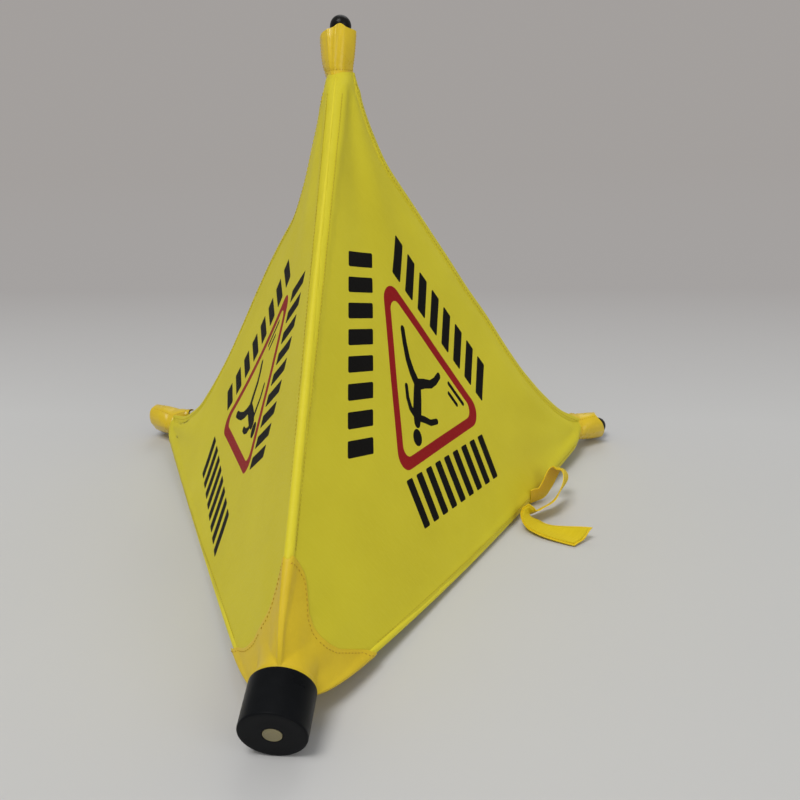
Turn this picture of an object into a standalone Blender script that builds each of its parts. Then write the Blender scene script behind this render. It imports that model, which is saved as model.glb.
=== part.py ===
# Pop-up fabric floor cone: a black base cap on a central post, a hub with three
# spring-opened folding legs, and a yellow fabric cover stretched over them as a
# three-sided pyramid. It lies on two leg tips and the rim of its cap.
#
# Lengths are in millimetres, in the cone's own frame: origin at the point where
# the three leg lines meet the post line, +Z along the post to the cap, +X towards
# the first leg. MM turns them into metres. The empty "cone_frame" then tips the
# cone over so that it rests on the floor, Z up, cap to -Y.

import math

import bmesh
import bpy
import numpy as np
from mathutils import Matrix, Vector

MM = 0.001

# ---- driving dimensions (mm, degrees) --------------------------------------
LEG_NAMES = ["top", "left", "right"]
LEG_STEP = 120.0           # turn from one leg to the next
LEG_REACH = 360.0          # hub point to the centre of a ball tip
LEG_ANGLE = math.degrees(math.acos(-1.0 / 3.0))   # leg to post, a regular tetrahedron
GAP = 0.3                  # clearance between fitted parts

CAP_END = 462.0            # hub point to the flat end of the cap
CAP_RADIUS = 26.5
CAP_LENGTH = 40.0
CAP_WALL = 2.7
CAP_RIM = CAP_END - CAP_LENGTH

POST_RADIUS = 4.75
POST_BORE = 2.3            # radius
POST_SOCKET = POST_RADIUS + 0.35   # radius of the holes that take the post

HUB_RADIUS = 24.0
HUB_TOP, HUB_BOTTOM, BOSS_TOP = 1.0, -15.0, 24.0
HUB_SCREW_HOLE = 2.4       # radius
SLOT_LOW, SLOT_HIGH = -3.1, 7.6    # sideways limits of a hub slot
SLOT_CORNERS = (12.3, SLOT_LOW, -30.0), (34.0, SLOT_HIGH, 12.0)

PIVOT_RADIUS = 17.5        # hinge pin centre to post centre
PIN_RADIUS = 1.6
PIN_HOLE = 2.0             # radius
COIL_MEAN, COIL_TURNS, COIL_STEPS = 2.95, 3, 39
COIL_START, COIL_END = 3.45, 6.95  # sideways limits of the spring coil
WIRE_RADIUS = 0.42

ROD_RADIUS = 3.5
ROD_BORE = ROD_RADIUS + GAP
BALL_RADIUS = 10.8
COLLAR_RADIUS = 6.0
KNUCKLE_RADIUS = 4.9
BLADE_LENGTH = 11.5
BLADE_EDGE = 4.6           # half depth of the blade where it meets the socket
BLADE_HALF = 2.65          # half thickness of a leg knuckle's blade
RIVET_DIST = 31.0          # rivet to hinge pin
RIVET_HOLE = 1.35          # radius

SLEEVE_START, SLEEVE_END = 316.0, 357.0
SLEEVE_W, SLEEVE_H = 17.5, 16.3    # half width and half depth at the open end
SLEEVE_START_OFF = 12.3    # how far each end of the sleeve sits off the leg, towards the cap
SLEEVE_OFF = 3.9
SLEEVE_SKIN = 0.8

COVER_TOP = 419.0          # where the cover leaves the cap
COVER_CORNER = 32.5        # ridge to post there, before it is pinched into the cap
COVER_END = SLEEVE_START - 1.2     # where the cover ends along a leg
RIDGE_END = 38.0           # ridge to leg at the sleeve, before it is pinched in
PINCH_CAP, PINCH_TIP = 9.0, 8.0
PINCH_CAP_FADE, PINCH_TIP_FADE = 0.035, 0.03   # shares of the ridge length
RIDGE_DROOP = 15.0         # how far a ridge near the floor hangs under its chord
COVER_SKIN = 1.2
NECK = 0.045               # share of a panel's width that wraps each leg
NECK_HALF = 13.6           # half width of the cover's neck
NECK_RISE = RIDGE_END - PINCH_TIP - SLEEVE_START_OFF
EDGE = 1.9                 # panel edge to ridge line
EDGE_SIDE, EDGE_IN = 0.577, 0.816  # its parts sideways and into the cover
BOW = [19.0, 6.0, 3.0]     # how far each panel's open edge bows in between the ridges
# How far each hem is drawn in from the line between its tips, at twelve equal steps
HEM_IN = [
    [0, 29.3, 58.6, 65.7, 50.2, 41.3, 41.4, 49.5, 60.5, 66.7, 65.8, 45.0, 0],
    [0, 23.4, 37.5, 44.5, 47.2, 48.0, 48.0, 48.0, 47.2, 44.5, 37.5, 23.4, 0],
    [0, 26.7, 38.5, 44.2, 43.9, 40.9, 42.8, 41.0, 41.0, 41.1, 42.3, 27.1, 0],
]
PANEL_SIDES = ["left", "floor", "right"]    # panel i spans from leg i to leg i + 1
ACROSS = np.concatenate([[0, 0.02, NECK], np.linspace(0.08, 0.92, 19), [1 - NECK, 0.98, 1.0]])
DOWN = np.concatenate([[0, 0.03], np.linspace(0.09, 0.88, 6), [0.94, 0.975, 1.0]])

HUB_BACK = 140.32          # hub point to the world origin, along Y

# Finish: base colour, roughness, metallic
FINISH = {
    "cap_plastic": ((0.012, 0.012, 0.013), 0.42, 0.0),
    "hub_plastic": ((0.03, 0.03, 0.032), 0.5, 0.0),
    "plug_plastic": ((0.62, 0.55, 0.40), 0.5, 0.0),
    "tip_rubber": ((0.012, 0.012, 0.012), 0.35, 0.0),
    "post_steel": ((0.62, 0.62, 0.63), 0.3, 1.0),
    "fastener_steel": ((0.55, 0.55, 0.56), 0.3, 1.0),
    "spring_steel": ((0.5, 0.5, 0.52), 0.28, 1.0),
    "leg_rod": ((0.75, 0.75, 0.7), 0.35, 0.0),
    "cover_fabric": ((0.55, 0.49, 0.03), 0.7, 0.0),
    "seam_tape": ((0.58, 0.52, 0.04), 0.7, 0.0),
    "vinyl": ((0.62, 0.42, 0.03), 0.3, 0.0),
    "strap_web": ((0.72, 0.52, 0.03), 0.6, 0.0),
    "hook_tape": ((0.55, 0.5, 0.08), 0.85, 0.0),
}
SHARP_ANGLE = 35.0

# ---- scene -----------------------------------------------------------------
for old_object in list(bpy.data.objects):
    bpy.data.objects.remove(old_object, do_unlink=True)
for old_mesh in list(bpy.data.meshes):
    bpy.data.meshes.remove(old_mesh)


# ---- directions ------------------------------------------------------------
def unit(vectors):
    return vectors / np.linalg.norm(vectors, axis=-1, keepdims=True)


def facing(vector, way):
    """The vector, turned round if it points against way."""
    return vector if vector @ way > 0 else -vector


def spin(points, degrees):
    """Points turned about the post."""
    angle = math.radians(degrees)
    c, s = math.cos(angle), math.sin(angle)
    x, y, z = np.moveaxis(np.asarray(points, float), -1, 0)
    return np.stack([x * c - y * s, x * s + y * c, z], -1)


LEG_SLOPE = math.radians(LEG_ANGLE)
X_AXIS = np.array([1.0, 0.0, 0.0])
SIDE = np.array([0.0, 1.0, 0.0])
LEG_DIR = np.array([math.sin(LEG_SLOPE), 0.0, math.cos(LEG_SLOPE)])
LEG_OUT = np.array([-math.cos(LEG_SLOPE), 0.0, math.sin(LEG_SLOPE)])  # off the leg, to the cap
PIVOT_DIST = PIVOT_RADIUS / math.sin(LEG_SLOPE)
PIVOT = np.array([PIVOT_RADIUS, 0.0, PIVOT_DIST * math.cos(LEG_SLOPE)])
BALL_DIST = LEG_REACH - PIVOT_DIST      # pin to ball centre


def leg_frame(leg):
    """Directions along a leg, off it towards the cap, and sideways."""
    azimuth = LEG_STEP * (leg % 3)
    return spin(LEG_DIR, azimuth), spin(LEG_OUT, azimuth), spin(SIDE, azimuth)


# ---- how the cone lies -----------------------------------------------------
def height_gap(tilt):
    """Lowest point of a lower leg sleeve minus lowest point of the cap's end."""
    along, off, sideways = leg_frame(1)
    up = np.array([math.cos(tilt), 0.0, -math.sin(tilt)])
    reach = math.hypot(SLEEVE_W * (sideways @ up), SLEEVE_H * (off @ up))
    sleeve = SLEEVE_END * (along @ up) + SLEEVE_OFF * (off @ up) - reach
    cap = -CAP_END * math.sin(tilt) - CAP_RADIUS * math.cos(tilt)
    return sleeve - cap


def resting_tilt():
    """The tilt at which sleeve and cap touch the floor together, by bisection."""
    low, high = 0.0, 0.6
    for _ in range(80):
        middle = (low + high) / 2
        if height_gap(middle) < 0:
            low = middle
        else:
            high = middle
    return (low + high) / 2


TILT = resting_tilt()
TILT_COS, TILT_SIN = math.cos(TILT), math.sin(TILT)
HUB_HEIGHT = CAP_END * TILT_SIN + CAP_RADIUS * TILT_COS
FLOOR_DOWN = np.array([-TILT_COS, 0.0, TILT_SIN])     # straight down, in the cone's frame
# The first three columns say where the cone's own X, Y and Z point in the world
STAND = Matrix((
    (0, -1, 0, 0),
    (-TILT_SIN, 0, -TILT_COS, HUB_BACK * MM),
    (TILT_COS, 0, -TILT_SIN, HUB_HEIGHT * MM),
    (0, 0, 0, 1),
))

cone_frame = bpy.data.objects.new("cone_frame", None)
bpy.context.scene.collection.objects.link(cone_frame)
cone_frame.matrix_world = STAND


# ---- objects ---------------------------------------------------------------
def material(name, colour, roughness, metallic):
    mat = bpy.data.materials.new(name)
    mat.use_nodes = True
    inputs = mat.node_tree.nodes["Principled BSDF"].inputs
    inputs["Base Color"].default_value = (*colour, 1.0)
    inputs["Roughness"].default_value = roughness
    inputs["Metallic"].default_value = metallic
    return mat


def make(name, shape, finish, loc=(0, 0, 0), rot_z=0.0, smooth=True):
    """One object from a shape: its vertices in mm (own frame) and its faces."""
    verts, faces = shape
    mesh = bpy.data.meshes.new(name)
    mesh.from_pydata([tuple(float(c) * MM for c in vert) for vert in verts], [],
                     [tuple(int(i) for i in face) for face in faces])
    bm = bmesh.new()
    bm.from_mesh(mesh)
    bmesh.ops.recalc_face_normals(bm, faces=bm.faces)
    if bm.calc_volume(signed=True) < 0:
        bmesh.ops.reverse_faces(bm, faces=bm.faces)
    bm.to_mesh(mesh)
    bm.free()
    ob = bpy.data.objects.new(name, mesh)
    bpy.context.scene.collection.objects.link(ob)
    ob.parent = cone_frame
    ob.location = Vector(loc) * MM
    ob.rotation_euler = (0, 0, math.radians(rot_z))
    mesh.materials.append(material("mat_" + name, *FINISH[finish]))
    if smooth:
        mesh.shade_smooth()
        mesh.set_sharp_from_angle(angle=math.radians(SHARP_ANGLE))
    return ob


def helper(name, shape, **place):
    """A hidden object for a boolean modifier."""
    ob = make(name, shape, "hub_plastic", smooth=False, **place)
    ob.hide_render = True
    ob.display_type = "WIRE"
    return ob


def boolean(ob, other, operation="DIFFERENCE"):
    modifier = ob.modifiers.new(operation.lower() + "_" + other.name, "BOOLEAN")
    modifier.operation = operation
    modifier.object = other
    modifier.solver = "EXACT"


# ---- shapes: each is a pair of vertices and faces --------------------------
def turned(outline, segments, axis="z"):
    """A solid of revolution from a closed (radius, height) outline; height runs along axis."""
    verts, rings = [], []
    for radius, height in outline:
        count = segments if radius > 1e-6 else 1
        rings.append(range(len(verts), len(verts) + count))
        for k in range(count):
            angle = 2 * math.pi * k / count
            verts.append((radius * math.cos(angle), radius * math.sin(angle), height))
    faces = []
    for ring, following in zip(rings, rings[1:] + rings[:1]):
        if len(ring) == len(following) == 1:
            continue
        for k in range(segments):
            after = k + 1
            quad = (ring[k % len(ring)], ring[after % len(ring)],
                    following[after % len(following)], following[k % len(following)])
            faces.append(tuple(dict.fromkeys(quad)))    # a triangle beside the axis
    order = {"x": (2, 0, 1), "y": (1, 2, 0), "z": (0, 1, 2)}[axis]
    return np.array(verts, float)[:, order], faces


def cylinder(radius, start, end, segments, axis):
    return turned([(0, start), (radius, start), (radius, end), (0, end)], segments, axis)


def swept(points, radius, sides):
    """A round bar along points, closed at both ends."""
    points = np.array(points, float)
    tangents = unit(np.gradient(points, axis=0))
    reference = np.array([0.0, 0.0, 1.0]) if abs(tangents[0][2]) < 0.9 else X_AXIS
    side = np.cross(tangents[0], reference)
    verts, faces = [], []
    for point, tangent in zip(points, tangents):
        side = unit(side - tangent * (side @ tangent))
        up = np.cross(tangent, side)
        for k in range(sides):
            angle = 2 * math.pi * k / sides
            verts.append(point + radius * (math.cos(angle) * side + math.sin(angle) * up))
    last = (len(points) - 1) * sides
    for start in range(0, last, sides):
        for k in range(sides):
            a, b = start + k, start + (k + 1) % sides
            faces.append((a, b, b + sides, a + sides))
    faces.append(tuple(range(sides))[::-1])
    faces.append(tuple(last + k for k in range(sides)))
    return np.array(verts), faces


def sheet(front, back, wrap=False):
    """A thin solid between two equal grids (rows, columns). wrap joins last column to first."""
    front, back = np.array(front, float), np.array(back, float)
    rows, cols = front.shape[:2]
    verts = np.concatenate([front.reshape(-1, 3), back.reshape(-1, 3)])
    behind = rows * cols
    last = behind - cols
    faces = []
    for j in range(cols if wrap else cols - 1):
        k = (j + 1) % cols
        for start in range(0, last, cols):
            a, b, c, d = start + j, start + k, start + cols + k, start + cols + j
            faces.append((a, b, c, d))
            faces.append((behind + d, behind + c, behind + b, behind + a))
        faces.append((k, j, behind + j, behind + k))
        faces.append((last + j, last + k, behind + last + k, behind + last + j))
    if not wrap:
        for a in range(0, last, cols):
            b = a + cols
            faces.append((a, b, behind + b, behind + a))
            a_end, b_end = a + cols - 1, b + cols - 1
            faces.append((b_end, a_end, behind + a_end, behind + b_end))
    return verts, faces


def box(low, high):
    (x0, y0, z0), (x1, y1, z1) = low, high
    verts = [(x, y, z) for z in (z0, z1) for x, y in ((x0, y0), (x1, y0), (x1, y1), (x0, y1))]
    faces = [(0, 3, 2, 1), (4, 5, 6, 7), (0, 1, 5, 4), (1, 2, 6, 5), (2, 3, 7, 6), (3, 0, 4, 7)]
    return verts, faces


def moved(shape, offset):
    return shape[0] + np.array(offset), shape[1]


def on_leg(shape):
    """A shape given as (along the leg from its pin, sideways, towards the cap), put upright."""
    return np.asarray(shape[0], float) @ np.array([LEG_DIR, SIDE, LEG_OUT]), shape[1]


# ---- cap and post ----------------------------------------------------------
def from_cap_end(outline):
    """(radius, depth below the cap's flat end) points as (radius, height)."""
    return [(radius, CAP_END - depth) for radius, depth in outline]


def build_cap():
    """Cap, the plug in its flat end, its screw and the clamp ring inside its rim."""
    inside, outside = CAP_RADIUS - CAP_WALL, CAP_RADIUS
    # Outlines: radius, depth
    cap = [
        (inside, CAP_LENGTH), (outside - 0.7, CAP_LENGTH), (outside - 0.2, CAP_LENGTH - 0.25),
        (outside, CAP_LENGTH - 0.8), (outside, 1.4), (outside - 0.4, 0.45), (outside - 1.4, 0),
        (8.5, 0), (8.2, 0.3), (8.2, 3.0), (5.1, 3.0), (5.1, 6.5), (2.35, 6.5), (2.35, 11.0),
        (POST_SOCKET, 11.0), (POST_SOCKET, 33.0), (8.6, 33.0), (8.6, 5.8), (inside, 5.8),
    ]
    plug = [(0, 2.6), (7.6, 2.6), (7.85, 2.4), (7.85, 0), (7.5, -0.35), (0, -0.45)]
    screw = [
        (0, 3.4), (3.2, 3.4), (4.5, 3.9), (4.6, 6.1), (1.9, 6.1), (1.9, 26.0), (1.2, 27.5),
        (0, 27.5),
    ]
    ring = [
        (19.2, CAP_LENGTH - 2.0), (21.7, CAP_LENGTH - 2.0), (22.0, CAP_LENGTH - 2.4),
        (22.0, CAP_LENGTH - 15.0), (21.7, CAP_LENGTH - 15.4), (19.2, CAP_LENGTH - 15.4),
    ]
    make("base_cap", turned(from_cap_end(cap), 32), "cap_plastic")
    make("cap_plug", turned(from_cap_end(plug), 28), "plug_plastic")
    make("cap_screw", turned(from_cap_end(screw), 24), "fastener_steel")
    make("cover_clamp_ring", turned(from_cap_end(ring), 28), "hub_plastic")


def build_post():
    low, high = -5.6, CAP_END - 11.5
    outline = [(POST_BORE, low), (POST_RADIUS, low), (POST_RADIUS, high), (POST_BORE, high)]
    make("centre_post", turned(outline, 28), "post_steel")


# ---- hub -------------------------------------------------------------------
def build_hub():
    """Hub body with a slot and a pin hole per leg."""
    outline = [     # radius, height
        (HUB_SCREW_HOLE, HUB_BOTTOM), (HUB_RADIUS - 0.6, HUB_BOTTOM),
        (HUB_RADIUS, HUB_BOTTOM + 0.6), (HUB_RADIUS, HUB_TOP - 1.2),
        (HUB_RADIUS - 1.2, HUB_TOP), (9.6, HUB_TOP), (9.0, HUB_TOP + 1.6),
        (9.0, BOSS_TOP - 0.8), (8.2, BOSS_TOP), (POST_SOCKET, BOSS_TOP),
        (POST_SOCKET, -6.1), (HUB_SCREW_HOLE, -6.1),
    ]
    hub = make("hub_body", turned(outline, 32), "hub_plastic")
    for leg, name in enumerate(LEG_NAMES):
        azimuth = LEG_STEP * leg
        boolean(hub, helper("cut_slot_" + name, box(*SLOT_CORNERS), rot_z=azimuth))
        hole = moved(cylinder(PIN_HOLE, -22.0, 13.0, 20, "y"), PIVOT)
        boolean(hub, helper("cut_pin_" + name, hole, rot_z=azimuth))


def build_hub_cover():
    """Cover under the hub, and the screw that passes through it."""
    edge, joint = HUB_RADIUS - 0.4, HUB_BOTTOM - 0.35
    cover = [       # radius, height
        (HUB_SCREW_HOLE, -18.6), (4.9, -18.6), (4.9, -21.4), (12.0, -21.4), (12.8, -20.9),
        (HUB_RADIUS - 1.4, -18.2), (edge, -17.4), (edge, -15.9), (HUB_RADIUS - 0.9, joint),
        (HUB_SCREW_HOLE, joint),
    ]
    screw = [
        (0, -21.2), (3.0, -21.2), (4.4, -20.6), (4.5, -18.95), (1.9, -18.95), (1.9, 4.0),
        (1.2, 5.4), (0, 5.4),
    ]
    make("hub_cover", turned(cover, 32), "hub_plastic")
    make("hub_screw", turned(screw, 24), "fastener_steel")


# ---- legs ------------------------------------------------------------------
def build_pin(name, place):
    outline = [
        (0, -12.4), (PIN_RADIUS - 0.3, -12.4), (PIN_RADIUS, -12.0), (PIN_RADIUS, 12.2),
        (PIN_RADIUS - 0.3, 12.6), (0, 12.6),
    ]
    make("hinge_pin_" + name, turned(outline, 18, "y"), "fastener_steel", **place)


def build_spring(name, place):
    """Coil round the pin, with one arm along the leg and one down the hub core."""
    arm = [(7.6, COIL_START, COIL_MEAN), (4.2, COIL_START, COIL_MEAN)]
    leg_arm, _ = on_leg((arm, []))
    start = math.atan2(LEG_OUT[2], LEG_OUT[0])
    sweep = 2 * math.pi * COIL_TURNS + math.pi - start
    coil = []
    for k in range(COIL_STEPS + 1):
        share = k / COIL_STEPS
        angle = start + share * sweep
        coil.append((COIL_MEAN * math.cos(angle), COIL_START + (COIL_END - COIL_START) * share,
                     COIL_MEAN * math.sin(angle)))
    hub_arm = [np.array(coil[-1]) + (-0.25, 0.02, drop) for drop in (-2.0, -4.6)]
    path = [*leg_arm, *coil, *hub_arm]
    make("torsion_spring_" + name, swept(path, WIRE_RADIUS, 5), "spring_steel", **place)


def blade():
    """Flat plate, rounded about the pin."""
    outline = []
    for k in range(13):
        angle = math.radians(90 + 180 * k / 12)
        outline.append((KNUCKLE_RADIUS * math.cos(angle), KNUCKLE_RADIUS * math.sin(angle)))
    outline += [(BLADE_LENGTH, -BLADE_EDGE), (BLADE_LENGTH, BLADE_EDGE)]
    n = len(outline)
    verts = [(x, y, z) for y in (-BLADE_HALF, BLADE_HALF) for x, z in outline]
    faces = [tuple(range(n)), tuple(range(2 * n - 1, n - 1, -1))]
    faces += [(i, i + n, (i + 1) % n + n, (i + 1) % n) for i in range(n)]
    return verts, faces


def build_knuckle(name, place, rivet_bore):
    """Blade round the pin that runs into the rod socket."""
    outline = [     # radius, distance along the leg
        (0, 10.0), (5.4, 10.0), (6.5, 11.4), (6.5, 39.2), (5.7, 40.0), (ROD_BORE, 40.0),
        (ROD_BORE, 14.0), (0, 14.0),
    ]
    knuckle = make("knuckle_" + name, on_leg(blade()), "hub_plastic", **place)
    socket = helper("add_socket_" + name, on_leg(turned(outline, 20, "x")), **place)
    boolean(knuckle, socket, "UNION")
    pin_bore = cylinder(PIN_HOLE, -9.0, 9.0, 20, "y")
    boolean(knuckle, helper("cut_knuckle_pin_" + name, pin_bore, **place))
    boolean(knuckle, rivet_bore)


def build_rod(name, place, rivet_bore):
    end = BALL_DIST - 5.0
    outline = [
        (0, 14.5), (ROD_RADIUS - 0.4, 14.5), (ROD_RADIUS, 14.9), (ROD_RADIUS, end - 0.4),
        (ROD_RADIUS - 0.4, end), (0, end),
    ]
    rod = make("leg_rod_" + name, on_leg(turned(outline, 20, "x")), "leg_rod", **place)
    boolean(rod, rivet_bore)


def build_rivet(name, place):
    outline = [     # radius, sideways distance
        (0, -7.7), (1.5, -7.7), (2.0, -7.3), (2.0, -6.85), (1.0, -6.85), (1.0, 6.85),
        (2.0, 6.85), (2.0, 7.3), (1.5, 7.7), (0, 7.7),
    ]
    shape = moved(turned(outline, 14, "y"), (RIVET_DIST, 0, 0))
    make("leg_rivet_" + name, on_leg(shape), "fastener_steel", **place)


def build_ball_tip(name, place):
    """Ball with a collar that grips the rod."""
    start = BALL_DIST - 20.0
    outline = [(ROD_BORE, start), (5.6, start), (COLLAR_RADIUS, start + 0.6)]
    sweep = math.pi - math.asin(COLLAR_RADIUS / BALL_RADIUS)
    for k in range(8):
        angle = sweep - sweep * k / 8
        outline.append((BALL_RADIUS * math.sin(angle), BALL_DIST + BALL_RADIUS * math.cos(angle)))
    seat = BALL_DIST - 4.6
    outline += [(0.0, BALL_DIST + BALL_RADIUS), (0.0, seat), (ROD_BORE, seat)]
    make("ball_tip_" + name, on_leg(turned(outline, 18, "x")), "tip_rubber", **place)


def build_sleeve(name, place):
    """Oval vinyl tube round the leg tip, wider at its open end."""
    # Distance from the hub point, half width, half depth, offset towards the cap
    stations = [
        (SLEEVE_START, 14.5, 18.3, SLEEVE_START_OFF), (326.0, 15.2, 17.8, 10.8),
        (338.0, 16.4, 17.2, 8.2), (347.0, 17.2, 16.7, 6.2),
        (SLEEVE_END, SLEEVE_W, SLEEVE_H, SLEEVE_OFF),
    ]
    angles = [2 * math.pi * k / 20 for k in range(20)]

    def ovals(skin):
        return [[(dist - PIVOT_DIST, (half_width - skin) * math.cos(a),
                  offset + (half_depth - skin) * math.sin(a)) for a in angles]
                for dist, half_width, half_depth, offset in stations]

    tube = sheet(ovals(0), ovals(SLEEVE_SKIN), wrap=True)
    make("tip_sleeve_" + name, on_leg(tube), "vinyl", **place)


def build_leg(leg, name):
    """One leg with its hinge; every piece has its origin on the pin."""
    azimuth = LEG_STEP * leg
    place = {"loc": spin(PIVOT, azimuth), "rot_z": azimuth}
    build_pin(name, place)
    build_spring(name, place)
    bore = moved(cylinder(RIVET_HOLE, -9.0, 9.0, 14, "y"), (RIVET_DIST, 0, 0))
    rivet_bore = helper("cut_rivet_" + name, on_leg(bore), **place)
    build_knuckle(name, place, rivet_bore)
    build_rod(name, place, rivet_bore)
    build_rivet(name, place)
    build_ball_tip(name, place)
    build_sleeve(name, place)


# ---- cover surface ---------------------------------------------------------
def ridge(leg, share):
    """Points on the ridge over a leg; share runs from the cap (0) to the leg tip (1)."""
    leg = leg % 3
    along, off, _ = leg_frame(leg)
    start = spin([COVER_CORNER, 0.0, COVER_TOP], LEG_STEP * leg)
    end = along * COVER_END + off * RIDGE_END
    share = np.asarray(share, float)[..., None]
    points = start + (end - start) * share
    droop = 0.0 if leg == 0 else RIDGE_DROOP
    points = points + FLOOR_DOWN * (droop * 4 * share * (1 - share))
    cap_pinch = spin(X_AXIS, LEG_STEP * leg) * PINCH_CAP * np.exp(-share / PINCH_CAP_FADE)
    return points - cap_pinch - off * PINCH_TIP * np.exp(-(1 - share) / PINCH_TIP_FADE)


def ridge_out(leg):
    """Square to the ridge, pointing out of the cover."""
    chord = unit(ridge(leg, 1.0) - ridge(leg, 0.0))
    outward = spin([1.0, 0.0, 0.3], LEG_STEP * (leg % 3))
    return facing(np.cross(leg_frame(leg)[2], chord), outward)


def panel_middle(i):
    """From the post towards the middle of panel i, square to the post."""
    return spin(X_AXIS, LEG_STEP * (i + 0.5))


def panel_out(i):
    """Square to panel i, pointing out of the cover."""
    cap_middle = (ridge(i, 0.0) + ridge(i + 1, 0.0)) / 2
    tip_middle = (ridge(i, 1.0) + ridge(i + 1, 1.0)) / 2
    normal = unit(np.cross(ridge(i + 1, 1.0) - ridge(i, 1.0), tip_middle - cap_middle))
    return facing(normal, panel_middle(i))


def hem_draw(i, share):
    """Smoothed draw-in of hem i, share from 0 to 1."""
    samples = np.linspace(0, 1, 241)
    draw = np.interp(samples, np.linspace(0, 1, 13), HEM_IN[i])
    window = np.hanning(25)
    pad = len(window) // 2
    # Mirrored with changed sign past both ends, so that the ends stay at zero
    padded = np.concatenate([-draw[pad:0:-1], draw, -draw[-2:-2 - pad:-1]])
    return np.interp(share, samples, np.convolve(padded, window / window.sum(), "valid"))


def neck_arc(leg, hand, share):
    """Quarter oval over a leg, from its ridge (0) to its side (1); hand is 1 or -1."""
    along, off, sideways = leg_frame(leg)
    angle = share * math.pi / 2
    return (along * COVER_END + off * (SLEEVE_START_OFF + NECK_RISE * math.cos(angle))
            + hand * sideways * NECK_HALF * math.sin(angle))


def open_edge(i, across):
    """The edge of panel i away from the cap; across runs from leg i to leg i + 1."""
    start, end = neck_arc(i, 1, 1.0), neck_arc(i + 1, -1, 1.0)
    cap_middle = (ridge(i, 0.0) + ridge(i + 1, 0.0)) / 2
    inward = unit(cap_middle - (start + end) / 2)
    points = []
    for u in across:
        if u < NECK:
            points.append(neck_arc(i, 1, u / NECK))
        elif u > 1 - NECK:
            points.append(neck_arc(i + 1, -1, (1 - u) / NECK))
        else:
            share = (u - NECK) / (1 - 2 * NECK)
            points.append(start + (end - start) * share + inward * hem_draw(i, share))
    return np.array(points)


def panel_edge(leg, hand, share):
    """The panel edge just inside the ridge over a leg; hand is the panel's side of it."""
    inset = hand * EDGE_SIDE * leg_frame(leg)[2] - EDGE_IN * ridge_out(leg)
    return ridge(leg, share) + EDGE * inset


def panel(i, across, down):
    """Grid of points on panel i, blended between its four edges; down runs cap to hem."""
    cap_a, cap_b = panel_edge(i, 1, 0.0), panel_edge(i + 1, -1, 0.0)
    tip_a, tip_b = panel_edge(i, 1, 1.0), panel_edge(i + 1, -1, 1.0)
    edge_a, edge_b = panel_edge(i, 1, down), panel_edge(i + 1, -1, down)
    # Shift the necks so that the open edge meets the panel's corners
    near_a = (1 - np.clip(across / NECK, 0, 1))[:, None]
    near_b = (1 - np.clip((1 - across) / NECK, 0, 1))[:, None]
    hem = (open_edge(i, across) + near_a * (tip_a - neck_arc(i, 1, 0.0))
           + near_b * (tip_b - neck_arc(i + 1, -1, 0.0)))
    top = cap_a + (cap_b - cap_a) * across[:, None]
    u, v = across[None, :, None], down[:, None, None]
    points = (1 - u) * edge_a[:, None] + u * edge_b[:, None] + (1 - v) * top + v * hem
    points -= (1 - u) * (1 - v) * cap_a + u * (1 - v) * cap_b
    points -= (1 - u) * v * tip_a + u * v * tip_b
    return points - panel_out(i) * (BOW[i] * np.sin(np.pi * u) ** 1.5 * v ** 1.8)


def grid_normals(grid):
    """Normals of a grid, pointing away from the hub point."""
    normals = unit(np.cross(np.gradient(grid, axis=0), np.gradient(grid, axis=1)))
    if normals.reshape(-1, 3).mean(0) @ grid.reshape(-1, 3).mean(0) < 0:
        normals = -normals
    return normals


# ---- cover pieces ----------------------------------------------------------
def build_panel(i):
    grid = panel(i, ACROSS, DOWN)
    half = grid_normals(grid) * COVER_SKIN / 2
    make("cover_panel_" + PANEL_SIDES[i], sheet(grid + half, grid - half), "cover_fabric")


def build_ridge_seam(leg, name):
    shares = np.concatenate([[0.025, 0.05], np.linspace(0.1, 0.9, 9), [0.95, 0.985]])
    path = ridge(leg, shares) + ridge_out(leg) * 0.1
    make("ridge_seam_" + name, swept(path, 1.0, 6), "seam_tape")


def build_hem(i):
    """Bar just past the panel's open edge, between the necks."""
    before, edge = panel(i, ACROSS[3:-3], np.array([0.97, 1.0]))
    path = edge + unit(edge - before) * 2.3
    make("hem_" + PANEL_SIDES[i], swept(path, 1.4, 6), "seam_tape")


PATCH_ROWS, PATCH_COLS = 6, 10     # columns per panel
PATCH_OFF, PATCH_SKIN = 2.0, 0.8
PATCH_RIDGE_LIFT = 1.0
PATCH_REACH, TONGUE_REACH = 0.085, 0.07    # shares of the panel's length
TONGUE_WIDTH = 0.16                # share of the panel's width
PATCH_START = 0.002
# Cuff rows: height, share of the cuff radius in the blend with the skirt's first row
CUFF_ROWS = [(CAP_RIM + 6.0, 1.0), (CAP_RIM - 0.4, 1.0), (CAP_RIM - 1.3, 0.75),
             (CAP_RIM - 2.2, 0.35)]


def patch_point(i, across, row):
    """A point of the patch before it is lifted off the cover, and its outward normal."""
    tongue = math.exp(-(min(across, 1 - across) / TONGUE_WIDTH) ** 2)
    reach = PATCH_REACH + TONGUE_REACH * tongue
    down = reach * row / (PATCH_ROWS - 1) + PATCH_START
    if across == 0:
        out = ridge_out(i)
        return ridge(i, down) + out * PATCH_RIDGE_LIFT, out
    cell = panel(i, np.array([across, across + 0.02]), np.array([down, down + 0.01]))
    point = cell[0, 0]
    normal = unit(np.cross(cell[1, 0] - point, cell[0, 1] - point))
    return point, facing(normal, panel_middle(i))


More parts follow.
